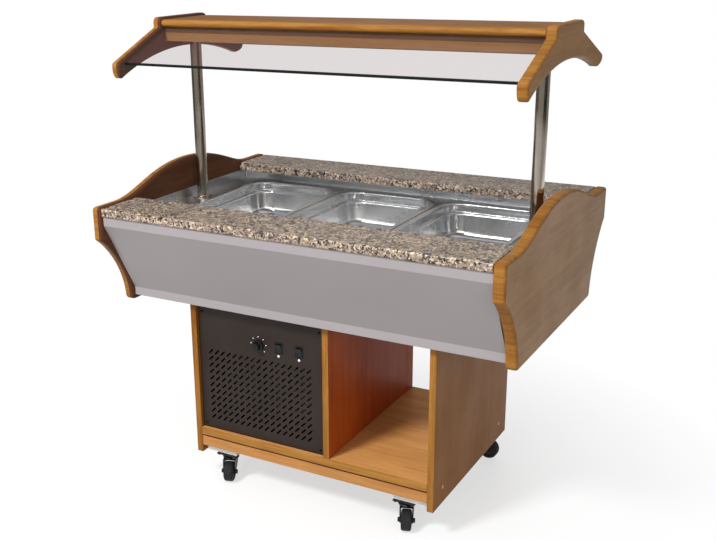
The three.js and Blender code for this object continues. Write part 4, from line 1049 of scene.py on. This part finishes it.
class SALADBAR_OT_pans(MakePiece):
    """Builds the three pressed food pans"""

    bl_idname = "salad_bar.pans"
    bl_label = "Food Pans"

    def build(self):
        sheet = sizes().pan_sheet
        half_x, half_y, depth = 0.1625, 0.265, 0.100
        flange, drop, mouth_radius = 0.011, 0.004, 0.004
        shoulder, step, root, bend, floor_radius, draft = 0.026, 0.009, 0.002, 0.007, 0.024, 0.005
        floor_reach, dish = 0.155, 0.0004
        wall = flange + mouth_radius
        foot = wall + step + draft
        inside = np.concatenate(
            [
                [(0.0, -drop)],
                arc((0.0008, -0.0008), 0.0008, 180, 90, 4),
                arc((flange, -mouth_radius), mouth_radius, 90, 0, 6),
                [(wall, -shoulder + 0.012)],
                arc((wall + root, -shoulder + root), root, 180, 250, 4),
                arc((wall + step - bend, -shoulder - bend), bend, 80, 0, 8),
                [(wall + step + draft * 0.3, -depth * 0.55)],
                arc((foot + floor_radius, sheet - depth + floor_radius), floor_radius, 184, 268, 9),
                [(floor_reach, sheet - depth - dish)],
            ]
        )
        chord = np.gradient(inside, axis=0)
        chord /= np.linalg.norm(chord, axis=1, keepdims=True)
        outside = inside + sheet * np.stack([chord[:, 1], -chord[:, 0]], -1)
        outside[:, 0] = np.clip(outside[:, 0], 0.0, None)
        line = np.concatenate([inside[::-1], outside])

        def corner_at(inset):
            """The rim's corner, then the wide mouth corner, which keeps its centre as the wall goes in."""
            insets = [0, flange * 0.8, flange + 0.002, 0.06, floor_reach]
            return max(0.006, np.interp(inset, insets, [0.012, 0.034, 0.056, 0.046, 0.006]))

        shape = tray(line, half_x, half_y, corner_at, 128)
        finish = ground_steel("pan_steel", colours().steel, 0.23, (0.03, 1, 1), 0.0006)
        for node in ("pan_left", "pan_middle", "pan_right"):
            place = (middle(node)[0], 0, high(node)[2])
            piece(f"{node}_pressing", moved(shape, to=place), finish, body=f"{node}_body",
                  stands_for=[node], sharp=60)


class SALADBAR_OT_panels(MakePiece):
    """Finishes the slotted grille and the rear panel, and builds the louvre hoods"""

    bl_idname = "salad_bar.panels"
    bl_label = "Bay Panels"

    def build(self):
        own = colours()
        coat = plain("grille_coat", own.grille, 0.55, mottled=0.12, scale=8.0, gritty=0.25)
        dress(["rear_service_panel"], coat)
        dress(["grille_panel"], punched_coat("punched_coat"))
        face = frame_plane()
        width, height, bulge, sheet = 0.138, 0.016, 0.007, 0.0012
        half_pitch, first_row, row_pitch = 0.078, 0.064, 0.040
        u, v = np.meshgrid(np.linspace(-1, 1, 29), np.linspace(0, 1, 9))
        lift = bulge * np.sqrt(np.clip(1 - u**8, 0, 1)) * np.sin(v * math.pi / 2 * 0.999)
        shell = np.stack([u * width / 2, lift, (0.5 - v) * -height], -1)
        back = shell.copy()
        back[..., 1] = np.clip(lift - sheet, 0.0, None)
        back_points, back_faces = grid(back, wrap_columns=False)
        turned_back = (back_points, [quad[::-1] for quad in back_faces])
        hood = merge([grid(shell, wrap_columns=False), turned_back])
        hoods = [
            moved(hood, to=(face["centre"] + x, face["rear"], face["foot"] + first_row + row * row_pitch))
            for row in range(6)
            for x in (-half_pitch, half_pitch)
        ]
        piece("rear_louvre_hoods", merge(hoods), coat, sharp=40)


def frame_plane():
    """Where the machine bay's panels lie."""
    grille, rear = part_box("grille_panel"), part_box("rear_service_panel")
    return {
        "front": grille[0][1],
        "rear": rear[0][1] + REAR_RETURN,
        "foot": grille[0][2],
        "top": grille[1][2],
        "left": grille[0][0],
        "right": grille[1][0],
        "centre": (grille[0][0] + grille[1][0]) / 2,
    }


class SALADBAR_OT_controls(MakePiece):
    """Builds the fluted thermostat knob and its dial dots, and finishes the switches and lamps"""

    bl_idname = "salad_bar.controls"
    bl_label = "Controls"

    def build(self):
        own = colours()
        black = plain("black_plastic", own.plastic, 0.42, mottled=0.1, scale=30.0, gritty=0.12)
        marking = plain("marking_print", own.marking, 0.5, mottled=0.03)
        lens = plain("lamp_lens", own.marking, 0.2, mottled=0.05, coat=0.4)
        dress(["thermostat_body", "switch_body_left", "switch_body_right"], black, 0.0006)
        dress(["switch_rocker_left", "switch_rocker_right"], black, 0.0012, 3)
        dress(["indicator_lamp_left", "indicator_lamp_right"], lens, 0.0004)
        knob_x, knob_z = knob_centre()
        front, back = low("thermostat_knob")[1], frame_plane()["front"] - 0.0023
        # Y, radius and depth of the flutes, from the back of the skirt to the front of the grip
        section = np.array(
            [
                (back, 0.0030, 0),
                (back, 0.0168, 0),
                (front + 0.014, 0.0166, 0),
                (front + 0.0125, 0.0128, 0.05),
                (front + 0.0015, 0.0114, 0.05),
                (front + 0.0004, 0.0106, 0.02),
                (front, 0.0040, 0),
            ]
        )
        angle = angles(144)
        heights, radii, flutes = (np.repeat(section[:, [i]], len(angle), 1) for i in range(3))
        r = radii * (1 - flutes * (0.5 + 0.5 * np.cos(18 * angle)))
        body = outward(grid(np.stack([r * np.cos(angle), heights, r * np.sin(angle)], -1)))
        rib = rounded_bar((0, front + 0.0045, 0.0072), (0.0013, 0.0052, 0.0070), 0.0008)
        knob = merge([moved(body, to=(knob_x, 0, knob_z)), moved(rib, to=(knob_x, 0, knob_z))])
        piece("thermostat_knob_grip", knob, black, body="knob",
              stands_for=["thermostat_knob"], sharp=30)
        line = rounded_bar((0, front - 0.0004, 0.0072), (0.0006, 0.0003, 0.0058), 0.0001)
        piece("thermostat_pointer", moved(line, to=(knob_x, 0, knob_z)), marking, body="knob")
        dot, ring = dome(sizes().dot_radius, 0.0003, 20, 3), sizes().dot_ring
        plane = frame_plane()["front"] - 0.00005
        dots = [
            moved(dot, FACE_FRONT, (knob_x + ring * math.cos(a), plane, knob_z + ring * math.sin(a)))
            for a in np.radians((-41, 7, 51, 92, 134, 173))
        ]
        piece("dial_dots", merge(dots), marking)


def knob_centre():
    """The knob is round about its shaft, so its lowest and highest X give the axis. Its height is that
    of the thermostat's middle."""
    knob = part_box("thermostat_knob")
    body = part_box("thermostat_body")
    return (knob[0][0] + knob[1][0]) / 2, (body[0][2] + body[1][2]) / 2


def rounded_bar(centre, half, radius):
    """A small block whose section in the X-Z plane is a rounded rectangle and whose ends along Y are
    chamfered by the same radius."""
    ys = (-half[1], -half[1] + radius, half[1] - radius, half[1])
    rings = []
    for inset, y in zip((radius, 0, 0, radius), ys):
        corner = max(min(half[0], half[2]) * 0.6 - inset, 0.0001)
        ring = rounded_rectangle(half[0] - inset, half[2] - inset, corner, 24)
        rings.append(np.stack([ring[:, 0], np.full(24, y), ring[:, 1]], -1))
    return moved(outward(grid(np.stack(rings))), to=centre)


class SALADBAR_OT_posts(MakePiece):
    """Builds the two polished posts with their foot flanges and screws"""

    bl_idname = "salad_bar.posts"
    bl_label = "Posts"

    def build(self):
        shine = ground_steel("post_chrome", colours().chrome, 0.11, (1, 1, 0.02), 0.004)
        screw = plain("bright_screw", colours().zinc, 0.25, 1.0, mottled=0.1, scale=60.0)
        screws, screw_ring = [], 0.0245
        for side in SIDES:
            node = f"post_{side}"
            centre, foot, top = middle(node), low(node)[2], high(node)[2]
            outer, flange = 0.01685, high(node)[0] - centre[0]
            profile = np.concatenate(
                [
                    [(outer - 0.0015, foot), (flange, foot)],
                    arc((flange - 0.0015, foot + 0.0025), 0.0015, 0, 90, 4),
                    [(outer + 0.0035, foot + 0.004)],
                    arc((outer + 0.0035, foot + 0.0075), 0.0035, 270, 180, 6),
                    [(outer, foot + (top - foot) * 0.5), (outer, top), (outer - 0.0015, top)],
                ]
            )
            post = moved(revolve(profile, 64, closed=True), to=(centre[0], centre[1], 0))
            piece(f"{node}_tube", post, shine, stands_for=[node], sharp=40)
            for around in (30, 150, 270):
                at = math.radians(around)
                x, y = centre[0] + screw_ring * math.cos(at), centre[1] + screw_ring * math.sin(at)
                screws.append(moved(screw_head(0.0034), turn_z(around * 1.7), (x, y, foot + 0.0043)))
        piece("post_flange_screws", merge(screws), screw, sharp=25)


class SALADBAR_OT_canopy_glass(MakePiece):
    """Finishes the two panes and the lamp, with a smooth tube between capped ends"""

    bl_idname = "salad_bar.canopy_glass"
    bl_label = "Canopy Glass and Lamp"

    def build(self):
        own = colours()
        dress(["glass_front", "glass_rear"], glass("pane"))
        dress(["lamp_housing"], plain("lamp_paint", own.white, 0.45, mottled=0.03), 0.0008)
        centre, radius = middle("lamp_tube"), high("lamp_tube")[1]
        half = (high("lamp_tube")[0] - low("lamp_tube")[0]) / 2
        bore, cap = 0.0010, 0.012
        end = half - cap
        tube_line = [
            (bore, -end),
            (radius - 0.0006, -end),
            (radius - 0.0003, -end + 0.002),
            (radius - 0.0003, end - 0.002),
            (radius - 0.0006, end),
            (bore, end),
        ]
        opal = plain("opal", linear(244, 242, 236), 0.18, mottled=0.03, coat=0.3)
        glass_tube = moved(revolve(tube_line, 32), FACE_RIGHT, centre)
        piece("lamp_tube_glass", glass_tube, opal, stands_for=["lamp_tube"])
        cap_line = [(bore, 0.0), (radius, 0.0), (radius, cap - 0.001), (radius - 0.001, cap), (bore, cap)]
        caps = [
            moved(revolve(cap_line, 32), turn, (centre[0] + sign * end, centre[1], centre[2]))
            for sign, turn in ((-1, FACE_LEFT), (1, FACE_RIGHT))
        ]
        piece("lamp_tube_caps", merge(caps), plain("cap_metal", own.zinc, 0.35, 1.0, mottled=0.1))


class SALADBAR_OT_casters(MakePiece):
    """Builds the caster wheels with rounded treads and hub rings, and finishes forks and plates"""

    bl_idname = "salad_bar.casters"
    bl_label = "Casters"

    def build(self):
        own = colours()
        enamel = plain("caster_enamel", own.enamel, 0.38, mottled=0.15, scale=40.0, gritty=0.08)
        tread = plain("caster_rubber", own.rubber, 0.7, mottled=0.2, scale=50.0, gritty=0.2)
        bolt = plain("caster_bolt", own.zinc, 0.35, 1.0, mottled=0.2, scale=80.0)
        radius, width, hub, shoulder = 0.030, 0.014, 0.0155, 0.006  # width and hub are half widths
        half = np.concatenate(
            [
                [(radius, 0.004)],
                arc((radius - shoulder, width - shoulder), shoulder, 12, 90, 6),
                [(0.0215, width), (0.0205, width - 0.0018), (0.0130, width - 0.0005)],
                [(0.0125, hub - 0.0012), (0.0110, hub), (0.0053, hub)],
            ]
        )
        profile = np.concatenate([half[::-1] * np.array([1, -1]), half])
        wheel = moved(revolve(profile, 64, closed=True), FACE_RIGHT)
        # A hexagonal head: radius and height
        bolt_line = [(0.0008, -0.0035), (0.0050, -0.0035), (0.0056, -0.0028), (0.0056, 0.0), (0.0008, 0.0)]
        bolt_head = revolve(bolt_line, 6)
        bolt_x, bolt_y, plate = 0.0255, 0.0225, 0.003
        bolts = []
        for corner in CORNERS:
            node = f"caster_wheel_{corner}"
            joint = next(j for j in frame["joints"] if j["name"] == f"wheel_{corner}_roll")
            heading = math.degrees(math.atan2(joint["axis"][1], joint["axis"][0]))
            place = np.array(joint["pos_m"])
            piece(f"{node}_tyre", moved(wheel, turn_z(heading), place), tread, body=f"wheel_{corner}",
                  stands_for=[node], sharp=30)
            dress([f"caster_fork_{corner}", f"caster_plate_{corner}"], enamel, 0.0007)
            centre, under = middle(f"caster_plate_{corner}"), high(f"caster_plate_{corner}")[2] - plate
            bolts += [
                moved(bolt_head, to=(centre[0] + x, centre[1] + y, under))
                for x in (-bolt_x, bolt_x)
                for y in (-bolt_y, bolt_y)
            ]
        piece("caster_plate_bolts", merge(bolts), bolt, sharp=25)


class SALADBAR_OT_machinery(MakePiece):
    """Finishes the compressor, the condenser with its fan, and the evaporator tube"""

    bl_idname = "salad_bar.machinery"
    bl_label = "Condensing Unit"

    def build(self):
        own = colours()
        zinc = plain("plated_steel", own.zinc, 0.38, 1.0, mottled=0.12, scale=25.0)
        enamel = plain("pot_enamel", own.enamel, 0.35, mottled=0.12, scale=20.0, gritty=0.1)
        dress(["compressor"], enamel, 0.0015)
        dress(["condenser", "fan_motor", "fan_blades"], zinc, 0.0004)
        copper = plain("copper_tube", own.copper, 0.3, 1.0, mottled=0.25, scale=30.0)
        dress(["evaporator_coil"], copper, 0.0015)


class SALADBAR_OT_fixings(MakePiece):
    """Builds the screws of the sheet panels and the plastic caps over the cabinet's connectors"""

    bl_idname = "salad_bar.fixings"
    bl_label = "Screws and Caps"

    def build(self):
        own, radius = colours(), sizes().screw_radius
        face = frame_plane()
        dark = plain("black_screw", own.plastic, 0.35, 0.6, mottled=0.1, scale=60.0)
        bright = plain("bright_screw", own.zinc, 0.25, 1.0, mottled=0.1, scale=60.0)
        rear_top = high("rear_service_panel")[2]
        columns = (face["left"] + SCREW_INSET, face["right"] - SCREW_INSET)
        foot, top = face["foot"] + SCREW_INSET, face["top"] - SCREW_INSET
        grille = [
            moved(screw_head(radius), FACE_FRONT, (x, face["front"] - 0.0006, z))
            for x in columns
            for z in (foot, top)
        ]
        piece("grille_screws", merge(grille), dark, sharp=25)
        rear = [
            moved(screw_head(radius), FACE_REAR, (x, face["rear"] + 0.0006, z))
            for x in columns
            for z in (foot, (face["foot"] + rear_top) / 2, rear_top - SCREW_INSET)
        ]
        piece("rear_panel_screws", merge(rear), bright, sharp=25)
        shelf = middle("base_shelf")[2]
        caps = []
        for side, sign in SIDES.items():
            node = f"base_side_{side}"
            x, turn = (high(node)[0], FACE_RIGHT) if sign > 0 else (low(node)[0], FACE_LEFT)
            for y in (-CAP_REACH, CAP_REACH):
                caps.append(moved(dome(sizes().cap_radius, 0.0012), turn, (x, y, shelf - CAP_DROP)))
        plastic = plain("cap_plastic", linear(206, 176, 140), 0.4, mottled=0.05)
        piece("connector_caps", merge(caps), plastic)


class SALADBAR_OT_studio(MakePiece):
    """Sets the camera, the pale floor and the soft lights"""

    bl_idname = "salad_bar.studio"
    bl_label = "Studio"

    def build(self):
        scene = bpy.context.scene
        scene.view_settings.view_transform = "Standard"
        scene.camera = make_camera()
        make_floor()
        make_world()
        make_lamp("key_light", (-1.3, -3.6, 4.3), (0.0, 0.0, 0.8), 1.2, 135)
        make_lamp("spark_light", (-1.3, -3.6, 4.1), (0.0, 0.0, 0.8), 1.1, 125, True)
        make_lamp("front_light", (0.2, -4.2, 1.1), (0.15, 0.0, 0.5), 1.8, 42)
        make_lamp("side_light", (3.6, -2.4, 1.8), (0.0, 0.0, 0.6), 2.4, 32)
        make_lamp("rear_light", (-1.6, 4.0, 2.0), (0.0, 0.0, 0.6), 2.4, 40)
        make_ceiling()
        make_wall("studio_wall_low", 0.0, HALL_SPLIT, LOW_WALL_STOPS)
        make_wall("studio_wall_high", HALL_SPLIT, HALL_HEIGHT, HIGH_WALL_STOPS)


def make_camera():
    """The camera that took the photograph, from its place, its three turns and its focal length."""
    data = bpy.data.cameras.new("photo_camera")
    camera = bpy.data.objects.new("photo_camera", data)
    bpy.context.scene.collection.objects.link(camera)
    data.sensor_width = 36.0
    data.lens = CAMERA_FOCAL * data.sensor_width / PHOTO_WIDTH
    data.shift_x = (PHOTO_WIDTH / 2 - CAMERA_AXIS[0]) / PHOTO_WIDTH
    data.shift_y = (CAMERA_AXIS[1] - PHOTO_HEIGHT / 2) / PHOTO_WIDTH
    data.clip_start, data.clip_end = 0.05, 60.0
    ahead = np.array(
        [
            -math.sin(CAMERA_YAW) * math.cos(CAMERA_PITCH),
            math.cos(CAMERA_YAW) * math.cos(CAMERA_PITCH),
            math.sin(CAMERA_PITCH),
        ]
    )
    level = np.array([math.cos(CAMERA_YAW), math.sin(CAMERA_YAW), 0.0])
    upward = np.cross(level, ahead)
    right = math.cos(CAMERA_ROLL) * level + math.sin(CAMERA_ROLL) * upward
    up = -math.sin(CAMERA_ROLL) * level + math.cos(CAMERA_ROLL) * upward
    turn = Matrix(np.stack([right, up, -ahead], 1).tolist()).to_4x4()
    camera.matrix_world = Matrix.Translation(CAMERA_PLACE) @ turn
    return camera


def make_lamp(name, place, aim, size, power, in_gloss=False):
    """A soft round light that looks from its place to its aim."""
    data = bpy.data.lights.new(name, "AREA")
    data.shape = "DISK"
    data.size = size
    data.energy = power
    lamp = bpy.data.objects.new(name, data)
    lamp.visible_glossy = in_gloss
    bpy.context.scene.collection.objects.link(lamp)
    away = np.array(place) - np.array(aim)
    away /= np.linalg.norm(away)
    side = np.cross((0, 0, 1), away)
    side /= max(np.linalg.norm(side), 1e-6)
    turn = Matrix(np.stack([side, np.cross(away, side), away], 1).tolist()).to_4x4()
    lamp.matrix_world = Matrix.Translation(place) @ turn


def make_floor():
    """A round floor: each ring of the disc is a circle. Its middle takes a soft shadow, and further out
    it is as bright as the backdrop to the camera, in mirrors and through glass."""
    floor = stage_piece("studio_floor", disc([0.001, 1.0, 3.0, 8.0, 25.0], 0.0, 64))
    material, tree, shader, place = finish_tree("floor_paper", 0.9, specular=0.1)
    own = colours()
    seen = seen_rays(tree)
    tone = tree.mix(seen, own.floor_bounce, own.floor)
    worn = effect(tree, "mottle", {"Vector": place, "Color": tone, "Amount": 0.004, "Scale": 1.5})
    tree.put(shader.inputs["Base Color"], worn.outputs["Color"])
    glow = tree.add("ShaderNodeEmission", {"Color": (1, 1, 1), "Strength": 1.0})
    distance = tree.add("ShaderNodeVectorMath", {0: place}, operation="LENGTH").outputs["Value"]
    share = tree.math("MULTIPLY", tree.between(distance, 0.4, 1.2, 0.6, 1.0), seen)
    blend = tree.add("ShaderNodeMixShader", {0: share, 1: shader.outputs[0], 2: glow.outputs[0]})
    output = material.node_tree.nodes["Material Output"]
    tree.put(output.inputs["Surface"], blend.outputs[0])
    floor.data.materials.append(material)


def disc(radii, height, sides):
    """Rings of points at one height: x = r cos a, y = r sin a."""
    radius, angle = np.array(radii)[:, None], angles(sides)
    level = np.full((len(radii), sides), height)
    return grid(np.stack([radius * np.cos(angle), radius * np.sin(angle), level], -1), caps=False)


def stage_piece(name, shape):
    """A piece of the studio, which isn't part of the object."""
    points, faces = shape
    mesh = bpy.data.meshes.new(name)
    mesh.from_pydata(points.tolist(), [], faces)
    mesh.update()
    made = bpy.data.objects.new(name, mesh)
    bpy.context.scene.collection.objects.link(made)
    return made


def seen_rays(tree):
    """One for the rays that show the backdrop: the camera's, mirrors' and those through glass."""
    path = tree.add("ShaderNodeLightPath")
    mirror = tree.math("MAXIMUM", path.outputs["Is Glossy Ray"], path.outputs["Is Transmission Ray"])
    return tree.math("MAXIMUM", path.outputs["Is Camera Ray"], mirror)


def glowing_piece(name, shape, tone_at):
    """A piece of the hall round the counter. It glows in the tone that tone_at works out from a Tree and
    the object's coordinates. Polished surfaces show it, and nothing else does."""
    made = stage_piece(name, shape)
    made.visible_camera = False
    made.visible_diffuse = False
    made.visible_transmission = False
    made.visible_shadow = False
    material = bpy.data.materials.new(f"{name}_paint")
    material.use_nodes = True
    tree = Tree(material.node_tree)
    tone = tone_at(tree, tree.add("ShaderNodeTexCoord").outputs["Object"])
    glow = tree.add("ShaderNodeEmission", {"Color": tone, "Strength": 1.0})
    tree.put(material.node_tree.nodes["Material Output"].inputs["Surface"], glow.outputs[0])
    made.data.materials.append(material)


def make_ceiling():
    """The hall's dim ceiling, a disc on top of the walls, brighter overhead."""

    def tone_at(tree, place):
        flat = tree.add("ShaderNodeVectorMath", {0: place, 1: (1, 1, 0)}, operation="MULTIPLY")
        away = tree.add("ShaderNodeVectorMath", {0: flat.outputs[0]}, operation="LENGTH").outputs["Value"]
        return tree.mix(tree.between(away, 1.4, 3.4, 1.0, 0.0), (0.14, 0.16, 0.18), (0.62, 0.64, 0.66))

    rings = disc([0.0, HALL_RADIUS / 2, HALL_RADIUS], HALL_HEIGHT, HALL_SIDES)
    glowing_piece("studio_ceiling", rings, tone_at)


def make_wall(name, foot, top, stops):
    """A band of the hall: two circles, with a brightness that goes by the turn about Z."""

    def tone_at(tree, place):
        along = tree.split(place)
        turn = tree.math("ARCTAN2", along["Y"], along["X"])
        warm = [(position, (level, level * 0.95, level * 0.88)) for position, level in stops]
        return tree.ramp(tree.between(turn, -math.pi, math.pi), warm)

    angle = angles(HALL_SIDES)
    ring = HALL_RADIUS * np.stack([np.cos(angle), np.sin(angle)], -1)
    rows = [np.concatenate([ring, np.full((HALL_SIDES, 1), height)], -1) for height in (foot, top)]
    glowing_piece(name, grid(np.stack(rows), caps=False), tone_at)


def make_world():
    """White to the camera and in mirrors, and a soft even light for the rest."""
    world = bpy.data.worlds.new("studio_world")
    world.use_nodes = True
    bpy.context.scene.world = world
    tree = Tree(world.node_tree)
    background = world.node_tree.nodes["Background"]
    background.inputs["Color"].default_value = (1, 1, 1, 1)
    tree.put(background.inputs["Strength"], tree.between(seen_rays(tree), 0, 1, 0.42, 1.0))


PIECE_OPERATORS = (
    SALADBAR_OT_end_panels,
    SALADBAR_OT_brackets,
    SALADBAR_OT_boards,
    SALADBAR_OT_stone,
    SALADBAR_OT_sheet,
    SALADBAR_OT_pans,
    SALADBAR_OT_panels,
    SALADBAR_OT_controls,
    SALADBAR_OT_posts,
    SALADBAR_OT_canopy_glass,
    SALADBAR_OT_casters,
    SALADBAR_OT_machinery,
    SALADBAR_OT_fixings,
    SALADBAR_OT_studio,
)


class SALADBAR_PT_sidebar(bpy.types.Panel):
    """Lists the salad bar's operators and values"""

    bl_idname = "SALADBAR_PT_sidebar"
    bl_label = "Salad Bar"
    bl_space_type = "VIEW_3D"
    bl_region_type = "UI"
    bl_category = "Salad Bar"

    def draw(self, context):
        column = self.layout.column()
        for operator in PIECE_OPERATORS:
            column.operator(operator.bl_idname)
        for values in (context.scene.salad_bar_sizes, context.scene.salad_bar_colours):
            box = self.layout.box()
            for key in values.__annotations__:
                box.prop(values, key)


CLASSES = (SaladBarSizes, SaladBarColours, *PIECE_OPERATORS, SALADBAR_PT_sidebar)


def register():
    for entry in CLASSES:
        bpy.utils.register_class(entry)
    bpy.types.Scene.salad_bar_sizes = bpy.props.PointerProperty(type=SaladBarSizes)
    bpy.types.Scene.salad_bar_colours = bpy.props.PointerProperty(type=SaladBarColours)


def unregister():
    del bpy.types.Scene.salad_bar_colours
    del bpy.types.Scene.salad_bar_sizes
    for entry in reversed(CLASSES):
        bpy.utils.unregister_class(entry)


def main():
    register()
    for operator in PIECE_OPERATORS:
        getattr(bpy.ops.salad_bar, operator.bl_idname.split(".")[1])()


if __name__ == "__main__":
    main()
